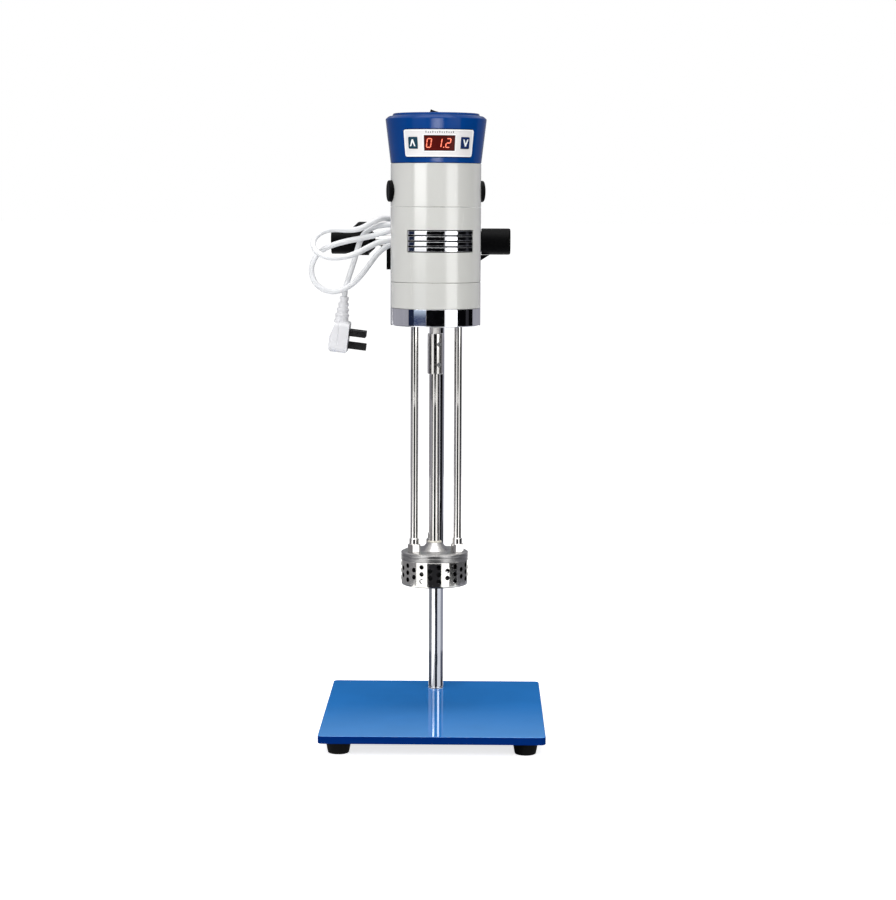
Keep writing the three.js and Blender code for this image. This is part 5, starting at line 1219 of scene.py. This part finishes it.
class HOMOGENIZER_OT_work_head(SizedOperator, bpy.types.Operator):
    """Makes the perforated stator, its cover, the bush and the three rods"""

    bl_idname = "homogenizer.work_head"
    bl_label = "Work Head"

    def execute(self, context):
        sizes = self.sizes(context).work
        self.stator(sizes)
        self.cover(sizes)
        self.bush(sizes)
        for node in RODS:
            self.rod(node, sizes)
        return {"FINISHED"}

    @staticmethod
    def stator(sizes):
        """A cup with a lip round its intake and staggered rows of holes."""
        bottom, top = span("stator_ring")
        radius = radius_of("stator_ring")
        bore = radius - sizes.wall
        chamfer, spare = 0.2 * MM, 3 * MM
        foot = soften(
            [(radius, top - chamfer), (radius, bottom), (sizes.intake, bottom)], sizes.rounding, 5)
        outline = [
            (bore, top), (radius - chamfer, top), *foot, (sizes.intake, bottom + sizes.lip),
            (bore, bottom + sizes.lip)]
        cup = lathe(outline, 144, closed=True)
        drills = bmesh.new()
        middle = (bottom + top) / 2 + sizes.lift
        for column in range(sizes.columns):
            levels = (-1, 0, 1) if column % 2 else (-0.5, 0.5)
            turn = sizes.first_hole + 2 * math.pi / sizes.columns * (column - 1)
            for level in levels:
                add_lathe(drills, bar(sizes.hole, bore - spare, radius + spare), 24,
                          outwards(turn - math.pi / 2, middle + level * sizes.pitch))
        make_piece(
            "stator", combine(cup, drills, "DIFFERENCE"), "stator_steel", "head",
            ["stator_ring"])

    @staticmethod
    def cover(sizes):
        """The grooved lid of the stator with a cone in its middle."""
        bottom, tip = span("stator_cover")
        radius = radius_of("stator_cover")
        seat = bottom + sizes.cover_spigot
        top = seat + sizes.cover_rise
        groove, half_groove = seat + sizes.cover_rise / 2, sizes.cover_groove / 2
        bore = 7.2 * MM
        spigot = radius - sizes.wall - 0.6 * MM
        outline = [
            (bore, bottom), (spigot, bottom), (spigot, seat), (radius, seat),
            (radius, groove - half_groove), (radius - sizes.cover_groove, groove),
            (radius, groove + half_groove), (radius, top - sizes.cover_round / 2),
            (radius - sizes.cover_round, top), (sizes.cone_base, top), (sizes.cone_top, tip),
            (bore, tip)]
        make_piece(
            "cover", lathe(soften(outline, 0.35 * MM, 2, True), 120, closed=True),
            "cover_steel", "head", ["stator_cover"])

    @staticmethod
    def bush(sizes):
        """The sleeve in which the shaft runs through the cover."""
        bottom, top = span("shaft_bush")
        inner, outer = 5.3 * MM, 6.9 * MM
        rim = top - 1.2 * MM
        outline = [
            (inner, bottom), (outer, bottom), (outer, rim), (sizes.cone_top, rim),
            (sizes.cone_top - 0.6 * MM, top), (inner, top)]
        make_piece(
            "bush", lathe(soften(outline, 0.25 * MM, 2, True), 64, closed=True), "nylon",
            "head", ["shaft_bush"])

    @staticmethod
    def rod(node, sizes):
        """A long rod with a hexagon and a collar at its foot."""
        bottom, top = span(node)
        seat = span("stator_cover")[0] + sizes.cover_spigot + sizes.cover_rise + GAP
        hexagon_top = seat + sizes.hexagon_rise
        collar_top = hexagon_top + sizes.collar_rise
        overlap = 0.5 * MM
        matrix = standing_at(centre_of(node))
        bm = prism(hexagon_outline(sizes.hexagon), seat, hexagon_top,
                   matrix @ Matrix.Rotation(math.radians(20), 4, "Z"))
        tip = sizes.hexagon / math.sqrt(3)
        cone = lathe([(0, seat), (tip, seat), (tip, hexagon_top - 0.8 * MM),
                      (tip - 1.3 * MM, hexagon_top), (0, hexagon_top)], 48, matrix)
        bm = combine(bm, cone, "INTERSECT")
        bevel_edges(bm, 0.25 * MM, 1)
        add_lathe(bm, soften([
            (0, hexagon_top - overlap), (sizes.collar, hexagon_top - overlap),
            (sizes.collar, collar_top - 0.6 * MM), (sizes.rod, collar_top),
            (sizes.rod, top), (0, top)], 0.3 * MM, 2), 48, matrix)
        add_lathe(bm, bar(sizes.rod, bottom, seat + overlap), 48, matrix)
        make_piece(
            f"{node}_finished", bm, "steel", "head", [node])


class HOMOGENIZER_OT_drive(SizedOperator, bpy.types.Operator):
    """Makes the long shaft and its coupling, and dresses the rotor"""

    bl_idname = "homogenizer.drive"
    bl_label = "Drive"

    def execute(self, context):
        bottom, top = span("drive_shaft")
        radius = radius_of("drive_shaft")
        shoulder = span("rotor")[1] + GAP
        neck = radius - 0.5 * MM
        outline = [
            (0, bottom), (neck, bottom), (neck, shoulder), (radius, shoulder), (radius, top),
            (0, top)]
        make_piece(
            "shaft", lathe(soften(outline, 0.2 * MM, 2), 64), "steel", "drive",
            ["drive_shaft"])
        self.coupling()
        for node in SET_SCREWS:
            dress(node, "dark_steel")
        # Painted shade: the rotor and its nut are dark as the shade inside the stator
        for node in ("rotor", "rotor_nut"):
            dress(node, "rotor_steel")
        dress("armature", "windings")
        dress("commutator", "copper")
        dress("cooling_fan", "black_plastic")
        return {"FINISHED"}

    @staticmethod
    def coupling():
        """The sleeve between both shafts, with holes for its set screws."""
        bottom, top = span("coupling")
        radius = radius_of("coupling")
        waist = span("drive_shaft")[1] + 0.25 * MM
        lower_bore, upper_bore, chamfer = 5.3 * MM, 5.8 * MM, 0.5 * MM
        outline = soften([
            (lower_bore, bottom), (radius - chamfer, bottom), (radius, bottom + chamfer),
            (radius, top - chamfer), (radius - chamfer, top), (upper_bore, top),
            (upper_bore, waist), (lower_bore, waist)], 0.2 * MM, 2, True)
        holes = bmesh.new()
        for node in SET_SCREWS:
            add_lathe(holes, bar(2.7 * MM, 0, 12 * MM), 32, outwards_to(node))
        sleeve = combine(lathe(outline, 96, closed=True), holes, "DIFFERENCE")
        make_piece(
            "coupling_finished", sleeve, "steel", "drive", ["coupling"])


class HOMOGENIZER_OT_motor_head(SizedOperator, bpy.types.Operator):
    """Makes the chromed ring, the enamelled shells, the vent grille and the brush caps"""

    bl_idname = "homogenizer.motor_head"
    bl_label = "Motor Head"

    def execute(self, context):
        sizes = self.sizes(context).head
        self.ring(sizes)
        for node in ("housing_lower", "housing_upper"):
            self.shell(node, sizes)
        self.vented_shell(sizes)
        self.grille(sizes)
        for side, turn in (("right", 0.0), ("left", math.pi)):
            self.brush_cap(f"brush_cap_{side}", sizes.cap_turn + turn)
        plain = {
            "field_stack": "rotor_steel", "lower_bearing": "steel", "upper_bearing": "steel",
            "brush_left": "carbon", "brush_right": "carbon", "brush_holder_left": "copper",
            "brush_holder_right": "copper", "brush_spring_left": "steel",
            "brush_spring_right": "steel", "control_board": "board",
        }
        for node, name in plain.items():
            dress(node, name)
        return {"FINISHED"}

    @staticmethod
    def ring(sizes):
        """The plated ring under the shells, with seats for a bearing and for the rods' ends."""
        bottom, top = span("end_ring")
        radius = radius_of("end_ring")
        bore = radius - sizes.wall
        shaft_hole, bearing_seat = 6.1 * MM, 14.3 * MM
        seat_level, floor_level = bottom + 4 * MM, bottom + 12 * MM
        outline = [
            (shaft_hole, bottom), (radius - sizes.ring_bevel, bottom),
            (radius, bottom + sizes.ring_bevel), (radius, top), (bore, top), (bore, floor_level),
            (bearing_seat, floor_level), (bearing_seat, seat_level), (shaft_hole, seat_level)]
        ring = lathe(soften(outline, 0.4 * MM, 3, True), 160, closed=True)
        seats = bmesh.new()
        for node in RODS:
            add_lathe(seats, bar(4.3 * MM, bottom - 3 * MM, bottom + 9 * MM), 48,
                      standing_at(centre_of(node)))
        make_piece(
            "ring", combine(ring, seats, "DIFFERENCE"), "chrome", "head",
            ["end_ring"])

    @staticmethod
    def shell_outline(node, sizes):
        """Cross-section of a shell's wall with rounded edges."""
        bottom, top = span(node)
        radius = radius_of(node)
        return soften(rectangle(radius - sizes.wall, radius, bottom, top), sizes.seam, 4, True)

    def shell(self, node, sizes):
        """A plain shell, or the upper one with its holes."""
        bm = lathe(self.shell_outline(node, sizes), 160, closed=True)
        if node == "housing_upper":
            bm = self.drilled(bm)
        make_piece(
            f"{node}_finished", bm, "cream_enamel", "head", [node])

    @staticmethod
    def drilled(bm):
        """The upper shell with holes for the brush caps and the lead's gland."""
        places = {
            "brush_cap_left": (11.3 * MM, 44.3 * MM), "brush_cap_right": (11.3 * MM, 44.3 * MM),
            "cord_gland": (6.5 * MM, 40 * MM),
        }
        holes = bmesh.new()
        for node, (radius, start) in places.items():
            add_lathe(holes, bar(radius, start, 60 * MM), 64, outwards_to(node))
        return combine(bm, holes, "DIFFERENCE")

    @staticmethod
    def onto_wall(radius, base):
        """Bends flat shapes onto the shell: x along the wall from the front, y up, z outwards."""
        def place(x, y, z):
            return turned(x / radius, radius + z, base + y)
        return place

    def vented_shell(self, sizes):
        """The middle shell with its wide opening."""
        bottom, top = span("vent_grille")
        radius = radius_of("housing_middle")
        hole = bmesh.new()
        add_slab(hole, sizes.vent_left * radius, sizes.vent_right * radius, -GAP,
                 top - bottom + GAP, -7 * MM, 5 * MM, 60)
        wrap(hole, self.onto_wall(radius, bottom))
        wall = lathe(self.shell_outline("housing_middle", sizes), 160, closed=True)
        make_piece(
            "housing_middle_finished", combine(wall, hole, "DIFFERENCE"), "cream_enamel",
            "head", ["housing_middle"])

    def grille(self, sizes):
        """A frame with even slats, bent into the shell's opening."""
        bottom, top = span("vent_grille")
        radius = radius_of("housing_middle")
        left, right = sizes.vent_left * radius + GAP, sizes.vent_right * radius - GAP
        height = top - bottom
        inner, outer = -sizes.wall + GAP, -0.5 * MM
        rim = sizes.vent_rim
        frame_bars = bmesh.new()
        add_slab(frame_bars, left, right, 0, height, inner, outer - 0.9 * MM, 60)
        window = bmesh.new()
        add_slab(window, left + rim, right - rim, rim, height - rim, inner - 3 * MM,
                 outer + 3 * MM, 58)
        bm = combine(frame_bars, window, "DIFFERENCE")
        pitch = height / sizes.slats
        for i in range(sizes.slats):
            middle = pitch * (i + 0.5)
            profile = soften(rectangle(middle - sizes.slat / 2, middle + sizes.slat / 2,
                                       outer - 2 * MM, outer - 0.1 * MM), 0.35 * MM, 3, True)
            self.add_bar(bm, profile, left + rim / 2, right - rim / 2, 60)
        wrap(bm, self.onto_wall(radius, bottom))
        make_piece("grille", bm, "grille_chrome", "head", ["vent_grille"])

    @staticmethod
    def add_bar(bm, profile, left, right, strips):
        """A bar of one profile (height, depth) along the wall."""
        rings = []
        for i in range(strips + 1):
            x = left + (right - left) * i / strips
            rings.append([bm.verts.new((x, y, z)) for y, z in profile])
        count = len(profile)
        for first, second in zip(rings, rings[1:]):
            for i in range(count):
                j = (i + 1) % count
                bm.faces.new((first[i], first[j], second[j], second[i]))
        bm.faces.new(list(reversed(rings[0])))
        bm.faces.new(rings[-1])

    @staticmethod
    def brush_cap(node, turn):
        """A slotted screw cap in the side of the upper shell."""
        low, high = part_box(node)
        level = (low.z + high.z) / 2
        seat, edge, face = 44.6 * MM, 49.2 * MM, 50.2 * MM
        outline = [(0, seat), (11 * MM, seat), (11 * MM, edge), (10 * MM, face), (0, face)]
        cap = lathe(soften(outline, 0.5 * MM, 3), 72, ALONG_X)
        slot = bmesh.new()
        add_box(slot, (face - 2 * MM, -1 * MM, -9.7 * MM), (53 * MM, 1 * MM, 9.7 * MM))
        matrix = Matrix.Translation((0, 0, level)) @ Matrix.Rotation(turn, 4, "Z")
        make_piece(
            f"{node}_finished", moved(combine(cap, slot, "DIFFERENCE"), matrix),
            "black_plastic", "head", [node])


class HOMOGENIZER_OT_display(SizedOperator, bpy.types.Operator):
    """Makes the blue cap with its wrapped panel, window, keys and power rocker"""

    bl_idname = "homogenizer.display"
    bl_label = "Display"

    def execute(self, context):
        sizes = self.sizes(context).display
        low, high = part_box("display_cap")
        self.base = low.z - GAP
        self.rim = (high.x - low.x) / 2
        self.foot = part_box("housing_upper")[1].x
        self.top = high.z
        self.rim_level = self.top - 5.8 * MM
        self.slope = (self.rim - self.foot) / (self.rim_level - low.z)
        self.cap(sizes, low.z)
        self.panel(sizes)
        self.window(sizes)
        self.key("up_key", "key_teal", sizes.turn - sizes.key_turn, 1, sizes)
        self.key("down_key", "key_blue", sizes.turn + sizes.key_turn, -1, sizes)
        self.rocker()
        return {"FINISHED"}

    def onto_cone(self, turn):
        """Bends flat shapes onto the cap: x along the wall from an angle, y up, z outwards."""
        def place(x, y, z):
            level = self.base + y
            radius = self.foot + self.slope * (y - GAP) + z
            return turned(turn + x / self.foot, radius, level)
        return place

    def bent_slab(self, turn, spread, bottom, height, inner, outer, strips=30):
        """A plate bent onto the cap about an angle."""
        bm = bmesh.new()
        add_slab(bm, -spread * self.foot, spread * self.foot, bottom, bottom + height, inner, outer,
                 strips)
        return wrap(bm, self.onto_cone(turn))

    def key_hole(self, turn, sizes):
        """A block that cuts the opening of a key."""
        width, height = sizes.key_width / 2 + GAP, sizes.key_height / 2 + GAP
        level = self.base + sizes.key_rise
        bm = bmesh.new()
        add_box(bm, (38 * MM, -width, level - height), (60 * MM, width, level + height),
                Matrix.Rotation(turn - math.pi / 2, 4, "Z"))
        return bm

    def with_key_holes(self, bm, sizes):
        for side in (-1, 1):
            turn = sizes.turn + side * sizes.key_turn
            bm = combine(bm, self.key_hole(turn, sizes), "DIFFERENCE")
        return bm

    def cap(self, sizes, bottom):
        """The flared cap with openings for the window, the keys and the rocker."""
        shoulder, underside = self.top - 2.8 * MM, self.top - 3.2 * MM
        outline = [
            (self.foot - 2.6 * MM, bottom), (self.foot, bottom), (self.rim, self.rim_level),
            (self.rim - 3.5 * MM, shoulder), (45 * MM, shoulder), (44 * MM, self.top),
            (0, self.top)]
        outline = soften(outline, 0.9 * MM, 4)
        outline += [
            (0, underside), (41.9 * MM, underside),
            (self.rim - 5.2 * MM, self.rim_level - 0.5 * MM)]
        window = self.bent_slab(
            sizes.window_turn, sizes.window_spread, sizes.window_bottom, sizes.window_height,
            -6 * MM, 3 * MM)
        bm = combine(lathe(outline, 160, closed=True), window, "DIFFERENCE")
        bm = self.with_key_holes(bm, sizes)
        low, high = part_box("rocker_frame")
        middle = (low.x + high.x) / 2
        hole = bmesh.new()
        add_box(hole, (middle - 11.7 * MM, -7.7 * MM, self.top - 7 * MM),
                (middle + 11.7 * MM, 7.7 * MM, self.top + 3 * MM))
        bm = combine(bm, hole, "DIFFERENCE")
        make_piece("cap", bm, "blue_cap", "head", ["display_cap"])

    def panel(self, sizes):
        """The white panel with its lip, a thin dark band of painted shadow round it, and its marks.
        """
        reach = sizes.spread * self.foot
        through = (-5 * MM, 5 * MM)
        middle = sizes.bottom + sizes.height / 2
        bm = bmesh.new()
        add_slab(bm, -reach, reach, sizes.bottom, sizes.bottom + sizes.height, GAP,
                 GAP + sizes.thick, 96)
        outline = prism([(x, y + middle) for x, y in rounded_rectangle(
            2 * reach, sizes.height, sizes.corner)], *through)
        bm = combine(bm, outline, "INTERSECT")
        offset = (sizes.window_turn - sizes.turn) * self.foot
        window = sizes.window_spread * self.foot
        hole = prism(rectangle(offset - window, offset + window, sizes.window_bottom,
                               sizes.window_bottom + sizes.window_height), *through)
        bm = combine(bm, hole, "DIFFERENCE")
        wrap(bm, self.onto_cone(sizes.turn))
        bm = self.with_key_holes(bm, sizes)
        make_piece(
            "panel", bm, "white_panel", "head", ["display_bezel"])
        self.border(sizes, reach, middle)
        self.gasket(sizes, reach, middle)
        self.ticks(sizes)

    def border(self, sizes, reach, middle):
        """The bright lip round the panel and round its window: a real raised lip, in a whiter
        colour than the panel that is a painted highlight along its edge.
        """
        bm = bmesh.new()
        level = GAP + sizes.thick
        frames = [
            (0, middle, 2 * reach, sizes.height, sizes.corner, 1.3 * MM),
            ((sizes.window_turn - sizes.turn) * self.foot,
             sizes.window_bottom + sizes.window_height / 2,
             2 * sizes.window_spread * self.foot + 2.2 * MM, sizes.window_height + 2.2 * MM,
             1.6 * MM, 1.1 * MM),
        ]
        for x, y, width, height, radius, lip in frames:
            outer = [(x + a, y + b) for a, b in rounded_rectangle(width, height, radius)]
            inner = [(x + a, y + b) for a, b in rounded_rectangle(
                width - 2 * lip, height - 2 * lip, max(radius - lip, 0.3 * MM))]
            self.add_ring(bm, outer, inner, level, level + 0.25 * MM)
        wrap(bm, self.onto_cone(sizes.turn))
        make_piece("panel_lip", bm, "panel_edge", "head")

    def gasket(self, sizes, reach, middle):
        """A thin dark band round the panel: painted shadow along the panel's edge."""
        bm = bmesh.new()
        bands = [
            [(x, y + middle) for x, y in rounded_rectangle(
                2 * reach + 2 * lip, sizes.height + 2 * lip, sizes.corner + lip)]
            for lip in (0.9 * MM, 0.1 * MM)]
        self.add_ring(bm, *bands, -0.3 * MM, 0.5 * MM)
        wrap(bm, self.onto_cone(sizes.turn))
        make_piece("panel_gasket", bm, "gasket", "head")

    @staticmethod
    def add_ring(bm, outer, inner, bottom, top):
        """A flat band between two outlines with as many points, cut finely enough to be bent."""
        longest, cuts = 8 * MM, 40
        bands = []
        for outline in (outer, inner):
            fine = []
            for i, corner in enumerate(outline):
                first, second = Vector(corner), Vector(outline[(i + 1) % len(outline)])
                steps = cuts if (second - first).length > longest else 1
                fine += [first.lerp(second, step / steps) for step in range(steps)]
            bands.append(fine)
        layers = [
            [bm.verts.new((point.x, point.y, level)) for point in band]
            for band, level in ((bands[0], bottom), (bands[0], top), (bands[1], top),
                                (bands[1], bottom))]
        count = len(bands[0])
        for low, high in zip(layers, layers[1:] + layers[:1]):
            for i in range(count):
                j = (i + 1) % count
                bm.faces.new((low[i], low[j], high[j], high[i]))

    def ticks(self, sizes):
        """A row of plain marks over the window."""
        bm = bmesh.new()
        level = GAP + sizes.thick
        bottom = sizes.window_bottom + sizes.window_height + 2.3 * MM
        marks, pitch, half = 13, 2.1 * MM, 0.35 * MM
        for i in range(marks):
            x = (i - (marks - 1) / 2) * pitch + (sizes.window_turn - sizes.turn) * self.foot
            rise = 1.9 * MM if i % 3 == 0 else 1.2 * MM
            add_box(bm, (x - half, bottom, level), (x + half, bottom + rise, level + 0.08 * MM))
        wrap(bm, self.onto_cone(sizes.turn))
        make_piece("panel_ticks", bm, "tick", "head")

    def window(self, sizes):
        """The dark window and the lit digits on it."""
        spread = sizes.window_spread - GAP / self.foot
        bm = self.bent_slab(
            sizes.window_turn, spread, sizes.window_bottom + GAP, sizes.window_height - 0.6 * MM,
            -7 * MM, 0.9 * MM, 40)
        make_piece("window", bm, "window", "head", ["display_module"])
        lit = bmesh.new()
        levels = (0.9 * MM, 1.0 * MM)
        width, height, stroke, slant = 4.9 * MM, 9.6 * MM, 0.9 * MM, 0.14
        baseline = sizes.window_bottom + (sizes.window_height - height) / 2
        places = {"0": -13.2 * MM, "1": -3.4 * MM, "2": 5.1 * MM}
        for value, left in places.items():
            for outline in segment_bars(value, width, height, stroke):
                points = [(left + x + slant * y, baseline + y) for x, y in outline]
                add_prism(lit, points, *levels)
        radius = 0.55 * MM
        dot = []
        for i in range(12):
            turn = math.radians(30 * i)
            dot.append((3.8 * MM + radius * math.cos(turn),
                        baseline + radius + radius * math.sin(turn)))
        add_prism(lit, dot, *levels)
        wrap(lit, self.onto_cone(sizes.window_turn))
        make_piece("digits", lit, "segment", "head")

    def key(self, node, look, turn, direction, sizes):
        """A key that follows the slope of the cap, and the arrow on it."""
        face = self.foot + 2.4 * MM
        middle = self.base + sizes.key_rise
        matrix = Matrix.Rotation(turn - math.pi / 2, 4, "Z")

        def lean(point):
            rise = point.z - middle
            x = point.x + self.slope * (sizes.key_rise - GAP + rise)
            return matrix @ Vector((x, point.y, point.z))

        flat = Matrix.Translation((0, 0, middle)) @ Matrix.Rotation(math.pi / 2, 4, "Y")
        outline = rounded_rectangle(sizes.key_height, sizes.key_width, 0.9 * MM, 4)
        bm = prism(outline, face - 4.5 * MM, face, flat)
        bevel_edges(bm, 0.3 * MM, 2)
        for vertex in bm.verts:
            vertex.co = lean(vertex.co)
        make_piece(f"{node}_finished", bm, look, node, [node])
        arrow = bmesh.new()
        arm, rise, stroke = 3.2 * MM, 3.5 * MM * direction, 2.9 * MM * direction
        leg = 1.5 * MM
        chevron = [(leg / 2, rise), (arm, -rise), (arm - leg, -rise), (0, rise - stroke),
                   (leg - arm, -rise), (-arm, -rise), (-leg / 2, rise)]
        add_prism(arrow, [(up, across) for across, up in chevron], 0, 0.12 * MM)
        for vertex in arrow.verts:
            up, across, out = vertex.co
            vertex.co = lean(Vector((face + out, across, middle + up)))
        make_piece(f"{node}_mark", arrow, "glyph", node)

    def rocker(self):
        """The frame of the power rocker in the cap's top."""
        low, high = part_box("rocker_frame")
        middle = (low.x + high.x) / 2
        half_x, half_y = (high.x - low.x) / 2, (high.y - low.y) / 2
        seat = self.top + GAP
        collar = prism([(x + middle, y) for x, y in rounded_rectangle(
            2 * half_x, 2 * half_y, 2.4 * MM, 6)], seat, high.z)
        step = 1.8 * MM
        shaft = bmesh.new()
        add_box(shaft, (middle - half_x + step, -half_y + step, low.z),
                (middle + half_x - step, half_y - step, high.z - 0.3 * MM))
        bm = combine(collar, shaft, "UNION")
        bore_x, bore_y = 9.8 * MM, 5.8 * MM
        bore = bmesh.new()
        add_box(bore, (middle - bore_x, -bore_y, low.z - 3 * MM),
                (middle + bore_x, bore_y, high.z + 3 * MM))
        bm = combine(bm, bore, "DIFFERENCE")
        bevel_edges(bm, 0.3 * MM, 2)
        make_piece(
            "rocker_surround", bm, "gloss_black", "head", ["rocker_frame"])
        dress("power_rocker", "gloss_black")


class HOMOGENIZER_OT_clamp(SizedOperator, bpy.types.Operator):
    """Makes the clamp's casting, liner, grip, screw and three-lobed knob"""

    bl_idname = "homogenizer.clamp"
    bl_label = "Clamp"

    def execute(self, context):
        sizes = self.sizes(context).clamp
        centre = centre_of("clamp_screw")
        self.matrix = Matrix.Translation((0, centre.y, centre.z))
        self.post_y = centre.y
        self.casting(sizes)
        self.grip(sizes)
        self.knob(sizes)
        self.screw()
        self.liner()
        for node in ("carrier_screw_left", "carrier_screw_right"):
            dress(node, "dark_steel")
        return {"FINISHED"}

    def casting(self, sizes):
        """Sleeve, barrel, boss, web, saddle and arm in one, bored for the post and the screw."""
        forms = [
            lathe(bar(sizes.barrel, 0, 56 * MM), 64, ALONG_X),
            lathe(bar(sizes.boss, -46 * MM, 0), 64, ALONG_X),
            self.web(sizes), *self.saddle()]
        bm = lathe(bar(sizes.sleeve, -30.4 * MM, 30 * MM), 72)
        for form in forms:
            bm = combine(bm, form, "UNION")
        bm = combine(bm, lathe(bar(11.6 * MM, -40 * MM, 40 * MM), 72), "DIFFERENCE")
        tunnel = lathe(bar(5.8 * MM, -50 * MM, 0), 48, ALONG_X)
        bm = combine(bm, tunnel, "DIFFERENCE")
        make_piece(
            "casting", moved(bm, self.matrix), "black_cast", "head",
            ["clamp_body"])

    @staticmethod
    def web(sizes):
        """The rib under the barrel. Its corners are in millimetres from the post's middle."""
        corners = [
            (-54.6, -30.4), (23.5, -30.4), (47, -20.1), (56, -14.4), (23.5, -14.4), (0, 0),
            (-23, 0), (-23, -6.7), (-61, -6.7), (-61, -8.8), (-54.6, -8.8)]
        return prism([(x * MM, z * MM) for x, z in corners], -sizes.web / 2, sizes.web / 2,
                     Matrix.Rotation(math.pi / 2, 4, "X"))

    def saddle(self):
        """The curved pad against the shell and the arm that carries it."""
        bottom, top = -31.2 * MM, -7.2 * MM
        inner, outer = 46.8 * MM, 53.8 * MM
        spread = math.radians(34)
        steps = 24
        turns = [-spread + 2 * spread * i / steps for i in range(steps + 1)]
        arc = [turned(math.pi + turn, outer, 0)[:2] for turn in turns]
        arc += [turned(math.pi - turn, inner, 0)[:2] for turn in turns]
        pad = prism(arc, bottom, top, Matrix.Translation((0, -self.post_y, 0)))
        half_width, half_height, root = 16 * MM, 9 * MM, 50.3 * MM
        middle = (bottom + top) / 2
        arm = bmesh.new()
        add_box(arm, (-half_width, root - self.post_y, middle - half_height),
                (half_width, 0, middle + half_height))
        return pad, arm

    def grip(self, sizes):
        """A round grip over the barrel."""
        low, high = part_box("side_grip")
        radius = (high.z - low.z) / 2
        bore, bottom = sizes.barrel + GAP, 56 * MM + GAP
        outline = soften([(bore, low.x), (radius, low.x), (radius, high.x), (0, high.x)],
                         2.4 * MM, 5)
        outline += [(0, bottom), (bore, bottom)]
        make_piece(
            "grip", moved(lathe(outline, 96, ALONG_X, True), self.matrix),
            "black_plastic", "head", ["side_grip"])

    def knob(self, sizes):
        """Three lobes limited by an envelope, with a hub and a bore for the screw."""
        end, back, front = -114 * MM, -91.6 * MM, -73.7 * MM
        shoulder, tip = -75.2 * MM, -66.5 * MM
        middle = (sizes.lobe + sizes.waist) / 2
        wave = (sizes.lobe - sizes.waist) / 2
        sides = 108
        points = []
        for i in range(sides):
            turn = 2 * math.pi * i / sides
            reach = middle + wave * math.cos(3 * turn)
            points.append((-reach * math.cos(turn), reach * math.sin(turn)))
        envelope = lathe(soften([
            (0, back), (sizes.waist, back), (sizes.lobe, -84.7 * MM), (sizes.lobe, shoulder),
            (sizes.lobe - 1.5 * MM, front), (0, front)], 1.5 * MM, 4), sides, ALONG_X)
        hub = lathe(soften([
            (0, end), (sizes.hub, end), (sizes.hub, shoulder), (sizes.hub, front),
            (7.5 * MM, tip), (0, tip)], 1.6 * MM, 4), 72, ALONG_X)
        bm = combine(prism(points, back, front, ALONG_X), envelope, "INTERSECT")
        bm = combine(bm, hub, "UNION")
        socket = lathe(bar(5.8 * MM, -86.5 * MM, -60 * MM), 48, ALONG_X)
        bm = combine(bm, socket, "DIFFERENCE")
        make_piece(
            "knob", moved(bm, self.matrix), "black_plastic", "clamp_knob",
            ["clamp_knob"])

    def screw(self):
        """A rod with a collar and a bevelled tip."""
        start, collar_start, collar_end = -86.2 * MM, -66.2 * MM, -46.3 * MM
        tip, radius, collar = -11.6 * MM, 5.5 * MM, 6.2 * MM
        outline = soften([
            (0, start), (radius, start), (radius, collar_start), (collar, collar_start),
            (collar, collar_end), (radius, collar_end), (radius, -12.6 * MM), (4.5 * MM, tip),
            (0, tip)], 0.25 * MM, 2)
        make_piece(
            "screw", moved(lathe(outline, 48, ALONG_X), self.matrix), "steel",
            "clamp_knob", ["clamp_screw"])

    def liner(self):
        """A tube with a flange at each end."""
        bore, wall, flange = 8.3 * MM, 11.3 * MM, 12.8 * MM
        bottom, lower, upper, top = -32.2 * MM, -30.7 * MM, 30.3 * MM, 31.8 * MM
        outline = soften([
            (bore, bottom), (flange, bottom), (flange, lower), (wall, lower), (wall, upper),
            (flange, upper), (flange, top), (bore, top)], 0.3 * MM, 2, True)
        make_piece(
            "liner", moved(lathe(outline, 72, closed=True), self.matrix), "nylon",
            "slide_bush", ["slide_liner"])


class HOMOGENIZER_PT_sidebar(bpy.types.Panel):
    """Buttons and sizes in the 3D view's sidebar"""

    bl_label = "Laboratory Homogenizer"
    bl_idname = "HOMOGENIZER_PT_sidebar"
    bl_space_type = "VIEW_3D"
    bl_region_type = "UI"
    bl_category = "Homogenizer"

    def draw(self, context):
        layout = self.layout
        for operator in OPERATORS:
            layout.operator(operator.bl_idname)
        groups = context.scene.homogenizer
        for name in ("stand", "work", "head", "display", "clamp", "lead", "colours", "stage"):
            box = layout.box()
            box.label(text=name.capitalize())
            group = getattr(groups, name)
            for label in group.__annotations__:
                box.prop(group, label)


GROUPS = (
    StandSizes, WorkHeadSizes, MotorHeadSizes, DisplaySizes, ClampSizes, LeadSizes, Colours,
    StageSizes, HomogenizerSizes)
OPERATORS = (
    HOMOGENIZER_OT_lead, HOMOGENIZER_OT_stand, HOMOGENIZER_OT_work_head, HOMOGENIZER_OT_drive,
    HOMOGENIZER_OT_motor_head, HOMOGENIZER_OT_display, HOMOGENIZER_OT_clamp,
    HOMOGENIZER_OT_stage)


def register():
    """Registers the sizes, the operators and the panel."""
    for entry in (*GROUPS, *OPERATORS, HOMOGENIZER_PT_sidebar):
        bpy.utils.register_class(entry)
    bpy.types.Scene.homogenizer = PointerProperty(type=HomogenizerSizes)


def unregister():
    """Takes them back."""
    del bpy.types.Scene.homogenizer
    for entry in reversed((*GROUPS, *OPERATORS, HOMOGENIZER_PT_sidebar)):
        bpy.utils.unregister_class(entry)


def main():
    """Runs the operators in order."""
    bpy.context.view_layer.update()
    register()
    for operator in OPERATORS:
        group, name = operator.bl_idname.split(".")
        getattr(getattr(bpy.ops, group), name)()


if __name__ == "__main__":
    main()
